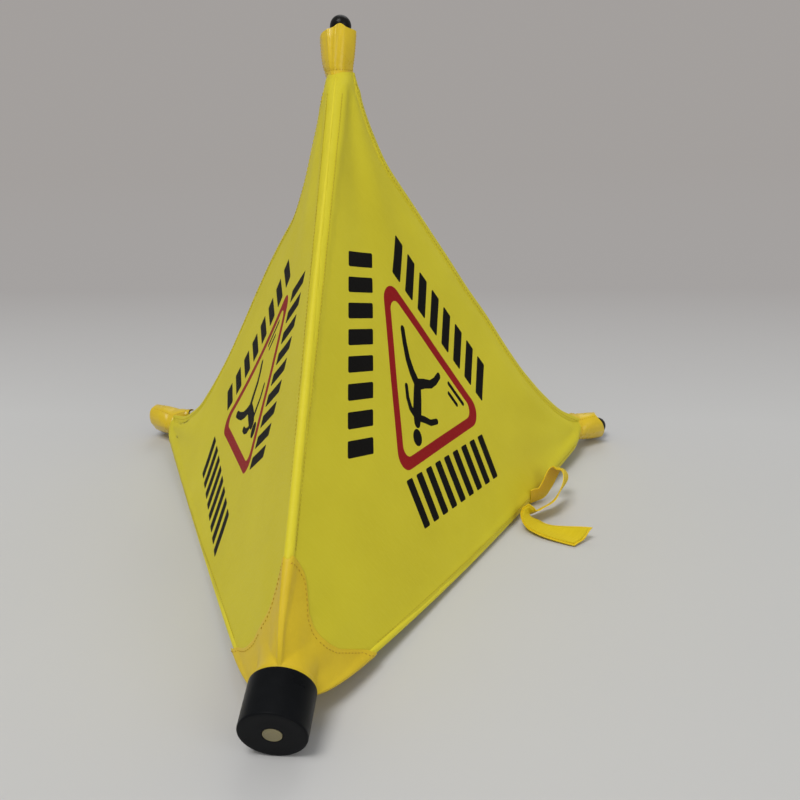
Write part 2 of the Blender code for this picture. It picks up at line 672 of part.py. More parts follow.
def build_cap_patch():
    """Vinyl cuff inside the cap rim and skirt over the cover, with a tongue on each ridge."""
    columns = np.linspace(0, 1, PATCH_COLS + 1)[:-1]
    cells = np.array([[patch_point(i, u, row) for i in range(3) for u in columns]
                      for row in range(PATCH_ROWS)])
    points, outward = cells[:, :, 0], cells[:, :, 1]
    skirt = points + outward * PATCH_OFF
    flat = skirt[0] * (1, 1, 0)
    radial = unit(flat)
    skirt_radius = np.linalg.norm(flat, axis=1)[:, None]
    cuff_radius = CAP_RADIUS - CAP_WALL - 0.9
    cuff = [radial * (cuff_radius * blend + skirt_radius * (1 - blend)) + (0, 0, height)
            for height, blend in CUFF_ROWS]
    shell = np.concatenate([cuff, skirt])
    half = np.concatenate([[radial] * len(CUFF_ROWS), outward]) * PATCH_SKIN / 2
    make("cap_patch", sheet(shell + half, shell - half, wrap=True), "vinyl")


# ---- tie strap: a ribbon by the right ridge, resting on the floor ----------
STRAP_W, STRAP_T = 24.0, 1.2
STRAP_SAMPLES = 22
STRAP_CLEARANCE = 1.5      # least height over the floor
TAPE_START = 16            # first strap sample under the hook tape
TAPE_HALF, TAPE_T = 10.5, 0.9
# World X, Y, Z directions, from the point on the floor under the hub point
STRAP_CENTRE = [
    (213, -29, 9), (219, -23, 21), (225, -17, 33), (231, -16, 38), (237, -23, 34),
    (234, -37, 26), (224, -53, 16), (208, -66, 11), (196, -77, 7), (201, -89, 5),
    (215, -101, 5), (233, -110, 5), (251, -118, 5.5),
]
# Direction across the strap at each centre point
STRAP_SIDE = [
    (0.72, 0.68, 0), (0.72, 0.68, 0), (0.70, 0.70, -0.05), (0.6, 0.78, -0.1),
    (0.35, 0.88, -0.25), (0.12, 0.9, -0.42), (0.1, 0.9, -0.42), (0.1, 0.9, -0.40),
    (0.15, 0.93, -0.25), (0.25, 0.95, -0.05), (0.32, 0.94, 0.0), (0.40, 0.91, 0.05),
    (0.42, 0.90, 0.10),
]


def smooth_path(points, samples):
    """Catmull-Rom curve through points."""
    points = np.array(points, float)
    last = len(points) - 1
    path = []
    for k in range(samples):
        x = k / (samples - 1) * last
        i = min(int(x), last - 1)
        t = x - i
        p0, p1, p2, p3 = points[[max(i - 1, 0), i, i + 1, min(i + 2, last)]]
        path.append(0.5 * (2 * p1 + (p2 - p0) * t + (2 * p0 - 5 * p1 + 4 * p2 - p3) * t * t
                           + (3 * p1 - p0 - 3 * p2 + p3) * t ** 3))
    return np.array(path)


def lift_off_floor(line, side):
    """Raise the centre line where an edge would be too low, eased into its neighbours."""
    low = line[:, 2] - np.abs(side[:, 2]) * STRAP_W / 2 - STRAP_T
    lift = np.clip(STRAP_CLEARANCE - low, 0, None)
    for _ in range(2):
        eased = np.convolve(np.pad(lift, 1, mode="edge"), [0.25, 0.5, 0.25], "valid")
        lift = np.maximum(lift, eased)
    line[:, 2] += lift


def ribbon(line, side, normal, half_width, bottom, top, steps):
    """Flat band along a line, between two heights along its normal, in the cone's frame."""
    upper, lower = (
        np.stack([line - side * half_width * step + normal * height for step in steps], 1)
        for height in (top, bottom))
    verts, faces = sheet(upper, lower)
    to_cone = np.array(STAND.inverted().to_3x3())
    return (verts - (0, 0, HUB_HEIGHT)) @ to_cone.T, faces


def build_strap():
    """The strap, and the hook tape on the upper face of its free end."""
    line = smooth_path(STRAP_CENTRE, STRAP_SAMPLES)
    side = smooth_path(STRAP_SIDE, STRAP_SAMPLES)
    tangent = unit(np.gradient(line, axis=0))
    side = unit(side - tangent * (side * tangent).sum(1)[:, None])
    normal = np.cross(tangent, side)
    lift_off_floor(line, side)
    strap = ribbon(line, side, normal, STRAP_W / 2, bottom=-STRAP_T / 2, top=STRAP_T / 2,
                   steps=(-1, -0.33, 0.33, 1))
    make("tie_strap", strap, "strap_web")

    free_end = slice(TAPE_START, None)
    up = normal if normal[19][2] > 0 else -normal
    seat = STRAP_T / 2 + GAP
    tape = ribbon(line[free_end], side[free_end], up[free_end], TAPE_HALF, bottom=seat,
                  top=seat + TAPE_T, steps=(-1, 0, 1))
    make("strap_hook_tape", tape, "hook_tape")


# ---- build -----------------------------------------------------------------
build_cap()
build_post()
build_hub()
build_hub_cover()
for index, leg_name in enumerate(LEG_NAMES):
    build_leg(index, leg_name)
    build_panel(index)
    build_ridge_seam(index, leg_name)
    build_hem(index)
build_cap_patch()
build_strap()
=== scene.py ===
"""A three-legged folding floor sign in lemon cloth, opened out and lying on its side.

Scene frame: metres, +z up, floor at z = 0. The base cap points to the front (-y), two legs
rest on the floor to the left (-x) and right (+x), and the third stands up at the back.
Cone frame: millimetres, origin at the hub, +z towards the base cap, +x in the plane of the
top leg. Legs 0, 1 and 2 (top, left, right) stand 120 degrees apart round z. Face i of the
cover spans leg i to leg i + 1. On a face, `across` runs 0 to 1 between those legs and
`down` runs 0 to 1 from the cap to the hem.
"""
import math

import bmesh
import bpy
import numpy as np
from mathutils import Matrix, Vector
from mathutils.geometry import delaunay_2d_cdt


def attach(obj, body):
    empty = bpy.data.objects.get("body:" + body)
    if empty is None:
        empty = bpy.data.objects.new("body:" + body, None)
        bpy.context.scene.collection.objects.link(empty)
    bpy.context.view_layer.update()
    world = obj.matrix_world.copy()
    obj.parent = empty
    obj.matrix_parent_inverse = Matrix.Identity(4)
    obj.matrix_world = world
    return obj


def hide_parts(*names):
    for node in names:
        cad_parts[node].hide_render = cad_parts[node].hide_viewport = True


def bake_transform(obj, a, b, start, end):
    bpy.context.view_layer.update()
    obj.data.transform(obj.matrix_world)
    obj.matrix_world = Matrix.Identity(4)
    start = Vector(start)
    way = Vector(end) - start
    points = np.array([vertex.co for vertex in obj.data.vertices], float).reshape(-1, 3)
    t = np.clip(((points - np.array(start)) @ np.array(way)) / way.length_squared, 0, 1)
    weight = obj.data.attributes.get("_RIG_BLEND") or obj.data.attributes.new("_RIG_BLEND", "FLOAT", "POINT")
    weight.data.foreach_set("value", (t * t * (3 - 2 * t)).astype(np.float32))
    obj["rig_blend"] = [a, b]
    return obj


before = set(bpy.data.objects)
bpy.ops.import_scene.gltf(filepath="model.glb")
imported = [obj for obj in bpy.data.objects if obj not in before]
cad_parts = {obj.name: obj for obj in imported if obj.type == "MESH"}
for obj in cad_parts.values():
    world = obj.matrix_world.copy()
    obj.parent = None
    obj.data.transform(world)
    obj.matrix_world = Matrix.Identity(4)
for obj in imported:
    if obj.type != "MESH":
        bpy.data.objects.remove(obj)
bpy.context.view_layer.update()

# ---- dimensions shared with the frame (mm, radians) ------------------------
LEGS = ["top", "left", "right"]
LEG_REACH = 360.0                   # hub to the centre of the ball on a leg's tip
LEG_ANGLE = math.acos(-1.0 / 3.0)   # from +z to each leg
PIVOT_RADIUS = 17.5                 # hinge pin from the z axis
PIVOT_Z = PIVOT_RADIUS / math.sin(LEG_ANGLE) * math.cos(LEG_ANGLE)
ROD_RADIUS = 3.5
CAP_END, CAP_RADIUS, CAP_LENGTH = 462.0, 26.5, 40.0
CAP_RIM = CAP_END - CAP_LENGTH
SLEEVE_START, SLEEVE_END = 316.0, 357.0

# ---- cover (mm) ------------------------------------------------------------
COVER_TOP, COVER_CORNER = 419.0, 32.5   # height and radius where a ridge leaves the cap
RIDGE_REACH = SLEEVE_START - 1.2        # end of a ridge, along its leg
RIDGE_END = 38.0                        # end of a ridge, off its leg
PINCH_CAP, PINCH_TIP = 9.0, 8.0         # how far each end of a ridge is drawn in
RIDGE_DROOP = (0.0, 15.0, 15.0)         # sag of each ridge
NECK = 0.045                            # share of the hem that wraps round each leg
NECK_HALF, NECK_OFF = 13.6, 12.3        # half width of that wrap, and its seat off the leg
NECK_RISE = RIDGE_END - PINCH_TIP - NECK_OFF
BOW = (19.0, 6.0, 3.0)                  # how far each face sinks inward
BOW_POWER = 1.8
CLOTH_THICK = 0.55
# how far each hem is drawn in from the straight line between its tips, at twelve equal steps
HEM = [
    [0, 29.3, 58.6, 65.7, 50.2, 41.3, 41.4, 49.5, 60.5, 66.7, 65.8, 45.0, 0],
    [0, 23.4, 37.5, 44.5, 47.2, 48.0, 48.0, 48.0, 47.2, 44.5, 37.5, 23.4, 0],
    [0, 26.7, 38.5, 44.2, 43.9, 40.9, 42.8, 41.0, 41.0, 41.1, 42.3, 27.1, 0],
]

# ---- how the cone lies in the scene ----------------------------------------
TILT = 0.268932178972879
HUB_HEIGHT = 148.30185525338885
HUB_BACK = 140.32
COS_TILT, SIN_TILT = math.cos(TILT), math.sin(TILT)
TO_SCENE = np.array([[0, -1, 0], [-SIN_TILT, 0, -COS_TILT], [COS_TILT, 0, -SIN_TILT]])
HUB = np.array([0, HUB_BACK, HUB_HEIGHT])
DOWNWARD = np.array([-COS_TILT, 0.0, SIN_TILT])     # the scene's -z in the cone frame
LEG_ALONG = np.array([math.sin(LEG_ANGLE), 0.0, math.cos(LEG_ANGLE)])
LEG_OFF = np.array([-math.cos(LEG_ANGLE), 0.0, math.sin(LEG_ANGLE)])
X_AXIS = np.array([1.0, 0.0, 0.0])


# ---- vectors and frames ----------------------------------------------------
def to_scene(points):
    return (np.asarray(points, float) @ TO_SCENE.T + HUB) * 0.001


def to_cone(points):
    return (np.asarray(points, float) * 1000.0 - HUB) @ TO_SCENE


def unit(vectors):
    """Unit length along the last axis."""
    vectors = np.asarray(vectors, float)
    return vectors / np.maximum(np.linalg.norm(vectors, axis=-1, keepdims=True), 1e-12)


def direction(vector):
    return vector / np.linalg.norm(vector)


def without(vectors, axis):
    """Vectors with their part along a unit axis taken out."""
    return vectors - axis * (vectors * axis).sum(-1, keepdims=True)


def facing(normal, towards):
    return normal if normal @ towards > 0 else -normal


def spin(points, degrees):
    """Turns points round the cone's z axis."""
    angle = math.radians(degrees)
    cos, sin = math.cos(angle), math.sin(angle)
    points = np.asarray(points, float)
    x, y, z = points[..., 0], points[..., 1], points[..., 2]
    return np.stack([x * cos - y * sin, x * sin + y * cos, z], -1)


def leg_axes(leg):
    """Along the leg, off it towards the cap, and sideways towards the next leg."""
    turn = 120.0 * (leg % 3)
    return spin(LEG_ALONG, turn), spin(LEG_OFF, turn), spin(np.array([0.0, 1.0, 0.0]), turn)


def leg_point(leg, along, side, off):
    along_axis, off_axis, side_axis = leg_axes(leg)
    return (np.asarray(along, float)[..., None] * along_axis
            + np.asarray(side, float)[..., None] * side_axis
            + np.asarray(off, float)[..., None] * off_axis)


def smoothstep(x, start, end):
    share = np.clip((np.asarray(x, float) - start) / (end - start), 0, 1)
    return share * share * (3 - 2 * share)


def smooth_noise(x, y, seed):
    """Repeatable unevenness made of six sines, between -1 and 1."""
    random = np.random.RandomState(seed)
    total = 0
    for _ in range(6):
        heading = random.uniform(0, 2 * math.pi)
        frequency = random.uniform(0.6, 1.8)
        phase = random.uniform(0, 2 * math.pi)
        total = total + np.sin((x * math.cos(heading) + y * math.sin(heading)) * frequency + phase)
    return total / 6


def run_along(points):
    """Length of a polyline up to each of its points."""
    return np.concatenate([[0], np.cumsum(np.linalg.norm(np.diff(points, axis=0), axis=1))])


# ---- smooth shape of the cover ---------------------------------------------
def ridge(leg, share):
    """Crest of the cover over a leg, from the cap (0) to the leg's tip (1)."""
    leg = leg % 3
    along, off, _ = leg_axes(leg)
    start = spin(np.array([COVER_CORNER, 0.0, COVER_TOP]), 120.0 * leg)
    end = along * RIDGE_REACH + off * RIDGE_END
    share = np.asarray(share, float)[..., None]
    points = start + (end - start) * share
    points = points + DOWNWARD * (RIDGE_DROOP[leg] * 4 * share * (1 - share))
    radial = spin(X_AXIS, 120.0 * leg)
    return (points - radial * PINCH_CAP * np.exp(-share / 0.035)
            - off * PINCH_TIP * np.exp(-((1 - share) / 0.02) ** 2))


def ridge_out(leg):
    """Outward direction square to a ridge."""
    chord = direction(ridge(leg, 1.0) - ridge(leg, 0.0))
    return facing(np.cross(leg_axes(leg)[2], chord), spin(np.array([1.0, 0.0, 0.3]), 120.0 * leg))


def ridge_gap(face, down):
    """Distance between the two ridges of a face."""
    return np.linalg.norm(ridge(face, down) - ridge(face + 1, down), axis=1)


def face_plane(face):
    """Origin, across, down and outward directions of a face's flat layout."""
    origin = (ridge(face, 0.0) + ridge(face + 1, 0.0)) / 2
    foot = (ridge(face, 1.0) + ridge(face + 1, 1.0)) / 2
    across = direction(ridge(face + 1, 1.0) - ridge(face, 1.0))
    down = foot - origin
    down = direction(down - across * (across @ down))
    out = facing(np.cross(across, down), spin(X_AXIS, 60 + 120 * face))
    return origin, across, down, out


PLANES = [face_plane(face) for face in range(3)]


def flat(face, points):
    """Layout coordinates of points: across, down and height off the plane."""
    origin, across, down, out = PLANES[face]
    offset = np.asarray(points) - origin
    return np.stack([offset @ across, offset @ down, offset @ out], -1)


def hem_curve(depths):
    """A row of HEM at 241 steps, smoothed, with its two ends held at 0."""
    share = np.linspace(0, 1, 241)
    depth = np.interp(share, np.linspace(0, 1, 13), depths)
    window = np.hanning(25)
    window /= window.sum()
    padded = np.concatenate([-depth[12:0:-1], depth, -depth[-2:-14:-1]])
    return share, np.convolve(padded, window, "valid")


HEM_CURVES = [hem_curve(depths) for depths in HEM]


def neck(leg, share, sign):
    """Quarter oval of hem round a leg's tip, from the ridge (0) to the corner (NECK)."""
    along, off, side = leg_axes(leg)
    turn = (np.clip(share / NECK, 0, 1) * math.pi / 2)[..., None]
    return (along * RIDGE_REACH + off * NECK_OFF + off * NECK_RISE * np.cos(turn)
            + side * (sign * NECK_HALF) * np.sin(turn))


def hem_edge(face, across):
    corner_a = neck(face, np.float64(NECK), 1)
    corner_b = neck(face + 1, np.float64(NECK), -1)
    top = (ridge(face, 0.0) + ridge(face + 1, 0.0)) / 2
    inward = direction(top - (corner_a + corner_b) / 2)
    share = np.clip((across - NECK) / (1 - 2 * NECK), 0, 1)[..., None]
    body = corner_a + (corner_b - corner_a) * share
    body = body + inward * np.interp(share, *HEM_CURVES[face])
    column = across[..., None]
    past_a = np.where(column > 1 - NECK, neck(face + 1, 1 - across, -1), body)
    return np.where(column < NECK, neck(face, across, 1), past_a)


def panel(face, across, down):
    """Smooth face surface at paired across and down: a patch filled in from its four edges."""
    across, down = np.asarray(across, float), np.asarray(down, float)
    top_a, top_b = ridge(face, 0.0), ridge(face + 1, 0.0)
    end_a, end_b = ridge(face, 1.0), ridge(face + 1, 1.0)
    u, v = across[..., None], down[..., None]
    top = top_a + (top_b - top_a) * u
    corners = ((1 - u) * (1 - v) * top_a + u * (1 - v) * top_b
               + (1 - u) * v * end_a + u * v * end_b)
    surface = ((1 - u) * ridge(face, down) + u * ridge(face + 1, down)
               + (1 - v) * top + v * hem_edge(face, across) - corners)
    sink = np.sin(np.pi * np.clip(across, 0, 1)) ** 1.5 * np.clip(down, 0, 1) ** BOW_POWER
    return surface - PLANES[face][3] * (BOW[face] * sink)[..., None]


def locate(face, points):
    """(across, down) on a face of flat layout points, by Newton steps."""
    def at(across, down):
        return flat(face, panel(face, across, down))[:, :2]

    down = np.clip(points[:, 1] / flat(face, ridge(face, 1.0))[1], 0.001, 0.999)
    start = at(np.zeros_like(down), down)[:, 0]
    end = at(np.ones_like(down), down)[:, 0]
    across = np.clip((points[:, 0] - start) / (end - start), 0.0, 1.0)
    step = 1e-4
    for _ in range(14):
        here = at(across, down)
        by_across = (at(across + step, down) - at(across - step, down)) / (2 * step)
        by_down = (at(across, down + step) - at(across, down - step)) / (2 * step)
        miss = points - here
        det = by_across[:, 0] * by_down[:, 1] - by_across[:, 1] * by_down[:, 0]
        det = np.where(np.abs(det) < 1e-6, 1e-6, det)
        move_across = (miss[:, 0] * by_down[:, 1] - miss[:, 1] * by_down[:, 0]) / det
        move_down = (by_across[:, 0] * miss[:, 1] - by_across[:, 1] * miss[:, 0]) / det
        across = np.clip(across + np.clip(move_across, -0.1, 0.1), -0.02, 1.02)
        down = np.clip(down + np.clip(move_down, -0.1, 0.1), -0.02, 1.02)
    return across, down


# ---- building blocks -------------------------------------------------------
def add(name, verts, faces, materials, uv=None, index=None, in_scene=False):
    """Smooth-shaded object from cone-frame vertices, or from scene ones with in_scene.
    uv is per vertex, index is a material number per face."""
    points = np.asarray(verts, float) if in_scene else to_scene(verts)
    mesh = bpy.data.meshes.new(name)
    mesh.from_pydata([tuple(map(float, point)) for point in points], [],
                     [tuple(int(corner) for corner in face) for face in faces])
    for material in materials:
        mesh.materials.append(material)
    if index is not None:
        mesh.polygons.foreach_set("material_index", np.asarray(index, np.int32))
    if uv is not None:
        layer = mesh.uv_layers.new(name="UVMap")
        loops = np.zeros(len(mesh.loops), np.int32)
        mesh.loops.foreach_get("vertex_index", loops)
        layer.data.foreach_set("uv", np.asarray(uv, np.float32)[loops].ravel())
    mesh.polygons.foreach_set("use_smooth", [True] * len(mesh.polygons))
    mesh.validate()
    mesh.update()
    part = bpy.data.objects.new(name, mesh)
    bpy.context.scene.collection.objects.link(part)
    return part


def add_solid(*args, sharp=None, **options):
    """add(), with normals turned outward and edges over `sharp` degrees kept crisp."""
    part = add(*args, **options)
    work = bmesh.new()
    work.from_mesh(part.data)
    bmesh.ops.recalc_face_normals(work, faces=work.faces)
    if work.calc_volume(signed=True) < 0:
        bmesh.ops.reverse_faces(work, faces=work.faces)
    work.to_mesh(part.data)
    work.free()
    if sharp:
        part.data.set_sharp_from_angle(angle=math.radians(sharp))
    return part


def fold_weight(points, leg, sleeve=False):
    """Share of a leg's turn that each cone-frame point takes, so that at full fold
    the cover lies as three flat fins round the folded legs."""
    x, y, z = spin(points, -120.0 * leg).T
    x_pivot, z_pivot = x - PIVOT_RADIUS, z - PIVOT_Z
    reach = np.maximum(np.hypot(x_pivot, z_pivot), 1e-6)
    angle = np.arctan2(x_pivot, z_pivot)
    along = x_pivot * math.sin(LEG_ANGLE) + z_pivot * math.cos(LEG_ANGLE)
    off = -x_pivot * math.cos(LEG_ANGLE) + z_pivot * math.sin(LEG_ANGLE)
    fin = np.abs(y) / math.sqrt(3)      # nearest a point may come to the axis

    def turn_from(folded_x):
        folded = np.arcsin(np.clip((folded_x - PIVOT_RADIUS) / reach, -1, 1))
        return np.clip((angle - folded) / LEG_ANGLE, 0, 1)

    at_sleeve = turn_from(np.maximum(PIVOT_RADIUS - np.minimum(off, 11.9), fin + 1.4))
    if sleeve:
        return at_sleeve
    core = 25.0 + 8.0 * smoothstep(reach, 225, 285) * smoothstep(z, 0, 60)
    clear = (fin + core + np.sqrt((fin - core) ** 2 + 25.0)) / 2
    at_cover = turn_from(clear + 2.4 * smoothstep(fin, 22, 48))
    tip = smoothstep(along, 262, 292) * (1 - smoothstep(z, 40, 80))
    return at_cover * (1 - tip) + at_sleeve * tip


def hang(part, leg, weights):
    """Bends a piece between the frame body and one leg, with a weight per vertex."""
    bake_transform(part, "frame", "leg_" + LEGS[leg], start=(0, 0, 0), end=(0, 0, 1))
    values = part.data.attributes["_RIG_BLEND"].data
    values.foreach_set("value", np.asarray(weights, float).astype(np.float32))


def tag(replaced=None):
    """Hides the CAD piece that a part stands in for."""
    if replaced:
        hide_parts(replaced)


def lathe(profile, sides):
    """Closed solid of revolution round z from (radius, height)."""
    verts, rings, faces = [], [], []
    for radius, z in profile:
        count = 1 if radius < 1e-6 else sides
        rings.append(list(range(len(verts), len(verts) + count)))
        for j in range(count):
            angle = 2 * math.pi * j / sides
            verts.append((radius * math.cos(angle), radius * math.sin(angle), z))
    for low, high in zip(rings, rings[1:] + rings[:1]):
        if len(low) == 1 and len(high) == 1:
            continue
        for k in range(sides):
            after = (k + 1) % sides
            if len(low) == 1:
                faces.append((low[0], high[after], high[k]))
            elif len(high) == 1:
                faces.append((low[k], low[after], high[0]))
            else:
                faces.append((low[k], low[after], high[after], high[k]))
    return np.array(verts), faces


def shell(front, back, wrap=False):
    """Thin closed solid between two equal grids of points."""
    rows, cols = front.shape[:2]
    verts = np.concatenate([front.reshape(-1, 3), back.reshape(-1, 3)])
    other = rows * cols     # from a front vertex to the one behind it
    last = (rows - 1) * cols
    spans = range(cols if wrap else cols - 1)
    faces = []
    for i in range(rows - 1):
        for j in spans:
            k = (j + 1) % cols
            quad = (i * cols + j, i * cols + k, (i + 1) * cols + k, (i + 1) * cols + j)
            faces += [quad, tuple(other + corner for corner in quad[::-1])]
    for j in spans:
        k = (j + 1) % cols
        faces += [(k, j, other + j, other + k),
                  (last + j, last + k, other + last + k, other + last + j)]
    if not wrap:
        for i in range(rows - 1):
            a, b = i * cols, (i + 1) * cols
            c, d = a + cols - 1, b + cols - 1
            faces += [(a, b, other + b, other + a), (d, c, other + c, other + d)]
    return verts, faces


def bar_faces(rings, sides, base=0):
    """Faces of a bar made of rings of vertices, with both ends closed."""
    faces = []
    for i in range(rings - 1):
        for k in range(sides):
            a, b = base + i * sides + k, base + i * sides + (k + 1) % sides
            faces.append((a, b, b + sides, a + sides))
    faces.append(tuple(base + k for k in range(sides))[::-1])
    faces.append(tuple(base + (rings - 1) * sides + k for k in range(sides)))
    return faces


def grid_uv(across, along):
    return np.stack(np.broadcast_arrays(across[None, :], along[:, None]), -1).reshape(-1, 2)


def tube(points, radius, sides, up=None):
    """Swept round bar. radius may vary along it; up fixes where each ring starts."""
    tangent = unit(np.gradient(points, axis=0))
    radius = np.broadcast_to(np.asarray(radius, float), (len(points),))
    if up is None:
        start = np.array([0.0, 0.0, 1.0]) if abs(tangent[0][2]) < 0.9 else X_AXIS
        side = unit(np.cross(tangent[0], start))
        side_axes = []
        for along in tangent:
            side = unit(without(side, along))
            side_axes.append(side)
        side_axes = np.array(side_axes)
    else:
        side_axes = unit(np.cross(tangent, np.broadcast_to(up, points.shape)))
    up_axes = np.cross(side_axes, tangent)
    angle = 2 * math.pi * np.arange(sides) / sides
    ring = (np.cos(angle)[None, :, None] * side_axes[:, None]
            + np.sin(angle)[None, :, None] * up_axes[:, None])
    verts = (points[:, None] + radius[:, None, None] * ring).reshape(-1, 3)
    uv = grid_uv(angle * radius.mean(), run_along(points)) * 0.001
    return verts, bar_faces(len(points), sides), uv


def stitches(lines, length=2.8, gap=1.3, radius=0.42, lift=0.15):
    """Sewn thread: a short five-sided bar per stitch along each (points, normals) line."""
    step = 0.5
    pitch, span = int(round((length + gap) / step)), int(round(length / step))
    heights = np.array([-radius * 0.6, lift * 0.6, lift + 0.12, lift * 0.6, -radius * 0.6])
    radii = radius * np.array([0.45, 0.9, 1.0, 0.9, 0.45])
    verts, faces = [], []
    for line in lines:
        run = run_along(line[0])
        even = np.linspace(0, run[-1], max(2, int(round(run[-1] / step)) + 1))
        points, normals = (np.stack([np.interp(even, run, column) for column in values.T], 1)
                           for values in line)
        for start in range(0, len(points) - span, pitch):
            at = start + np.array([0, 1, span // 2, span - 1, span])
            core = points[at] + unit(normals[at]) * heights[:, None]
            tangent = unit(core[-1] - core[0])
            up = unit(without(normals[start], tangent))
            side = np.cross(tangent, up)
            ring = np.array([side, (side + 1.6 * up) / 1.9, (-side + 1.6 * up) / 1.9,
                             -side, -up * 0.8])
            faces += bar_faces(5, 5, base=25 * len(verts))
            verts.append((core[:, None] + radii[:, None, None] * ring[None]).reshape(-1, 3))
    return np.concatenate(verts), faces


def sew(name, leg, lines, thread, sleeve=False, **stitch):
    verts, faces = stitches(lines, **stitch)
    part = add_solid(name + "_" + LEGS[leg], verts, faces, [thread])
    hang(part, leg, fold_weight(verts, leg, sleeve))


# ---- materials -------------------------------------------------------------
class Material:
    """A material's node tree, with short ways to add the nodes used here."""

    def __init__(self, name):
        self.material = bpy.data.materials.new(name)
        self.material.use_nodes = True
        self.tree = self.material.node_tree
        self.surface = self.tree.nodes["Principled BSDF"]

    def feed(self, socket, value):
        """Links a socket, or sets a number or an RGB colour."""
        if isinstance(value, bpy.types.NodeSocket):
            self.tree.links.new(value, socket)
        else:
            socket.default_value = (*value, 1.0) if isinstance(value, tuple) else value

    def set(self, values):
        for name, value in values.items():
            self.feed(self.surface.inputs[name], value)

    def node(self, kind, vector=None, **settings):
        """A node with inputs or properties set by name."""
        made = self.tree.nodes.new(kind)
        for name, value in settings.items():
            if name in made.inputs:
                made.inputs[name].default_value = value
            else:
                setattr(made, name, value)
        if vector:
            self.tree.links.new(vector, made.inputs["Vector"])
        return made

    def coords(self, source, stretch=(1.0, 1.0, 1.0)):
        origin = self.node("ShaderNodeTexCoord")
        mapping = self.node("ShaderNodeMapping", origin.outputs[source], Scale=stretch)
        return mapping.outputs["Vector"]

    def noise(self, vector, scale, detail, roughness):
        made = self.node("ShaderNodeTexNoise", vector, Scale=scale, Detail=detail,
                         Roughness=roughness)
        return made.outputs["Fac"]

    def remap(self, value, span, to=(0.0, 1.0)):
        made = self.node("ShaderNodeMapRange", **{
            "From Min": span[0], "From Max": span[1], "To Min": to[0], "To Max": to[1]})
        self.tree.links.new(value, made.inputs["Value"])
        return made.outputs["Result"]

    def mix(self, share, first, second):
        made = self.node("ShaderNodeMix", data_type="RGBA")
        for place, value in ((0, share), (6, first), (7, second)):
            self.feed(made.inputs[place], value)
        return made.outputs[2]

    def maths(self, operation, first, second):
        made = self.node("ShaderNodeMath", operation=operation)
        self.feed(made.inputs[0], first)
        self.feed(made.inputs[1], second)
        return made.outputs[0]

    def bump(self, height, strength, distance):
        made = self.node("ShaderNodeBump", Strength=strength, Distance=distance)
        self.tree.links.new(height, made.inputs["Height"])
        self.tree.links.new(made.outputs["Normal"], self.surface.inputs["Normal"])


def toned(colour, factor, plus=0.0):
    return tuple(min(1.0, channel * factor + plus) for channel in colour)


def cloth(name, base, shade, tint, rough=0.55, pitch=0.0011, weave=0.10, sheen=0.12,
          source="UV", specular=0.22):
    """Coated woven nylon: fine weave of `pitch` metres, cloudy dye, slubby threads, sheen."""
    mat = Material(name)
    vector = mat.coords(source)
    cloud = mat.noise(vector, scale=9.0, detail=3.0, roughness=0.55)
    fine = mat.noise(vector, scale=420.0, detail=2.0, roughness=0.6)
    slub = mat.noise(mat.coords(source, stretch=(1.0, 14.0, 1.0)),
                     scale=60.0, detail=3.0, roughness=0.7)
    colour = mat.mix(mat.remap(cloud, span=(0.3, 0.7)), shade, base)
    colour = mat.mix(mat.remap(slub, span=(0.45, 0.75), to=(0.0, 0.35)), colour, tint)
    warp, weft = (
        mat.node("ShaderNodeTexWave", vector, Scale=1.0 / pitch / 2, Distortion=0.25,
                 Detail=1.0, wave_type="BANDS", bands_direction=way).outputs["Fac"]
        for way in "XY")
    threads = mat.maths("MULTIPLY", mat.maths("ADD", warp, weft), 0.5)
    colour = mat.mix(mat.remap(threads, span=(0.0, 1.0), to=(0.10, 0.0)), colour,
                     toned(base, 0.55))
    mat.set({
        "Base Color": colour,
        "Roughness": mat.remap(fine, span=(0.3, 0.7), to=(rough - 0.06, rough + 0.08)),
        "Sheen Weight": sheen,
        "Sheen Roughness": 0.45,
        "Sheen Tint": (min(1, base[0] * 1.3), min(1, base[1] * 1.3), min(1, base[2] * 3 + 0.06)),
        "Specular IOR Level": specular,
    })
    height = mat.maths("ADD", threads, mat.maths("MULTIPLY", slub, 0.6))
    mat.bump(height, strength=weave, distance=0.0006)
    return mat.material


def vinyl(name, base, shade, rough, coat, specular):
    """Soft coated vinyl: leathery micro grain, cloudy tone, rubbed gloss."""
    mat = Material(name)
    vector = mat.coords("UV")
    cloud = mat.noise(vector, scale=26.0, detail=4.0, roughness=0.6)
    cell = mat.node("ShaderNodeTexVoronoi", vector, Scale=900.0, feature="SMOOTH_F1")
    fine = mat.noise(vector, scale=260.0, detail=3.0, roughness=0.65)
    colour = mat.mix(mat.remap(cloud, span=(0.3, 0.7)), shade, base)
    colour = mat.mix(mat.remap(fine, span=(0.5, 0.8), to=(0.0, 0.25)), colour, toned(base, 1.15))
    mat.set({
        "Base Color": colour,
        "Roughness": mat.remap(cloud, span=(0.3, 0.75), to=(rough - 0.05, rough + 0.12)),
        "Coat Weight": coat,
        "Specular IOR Level": specular,
        "Coat Roughness": 0.25,
    })
    height = mat.maths("ADD", cell.outputs["Distance"], mat.maths("MULTIPLY", fine, 1.2))
    mat.bump(height, strength=0.12, distance=0.0005)
    return mat.material


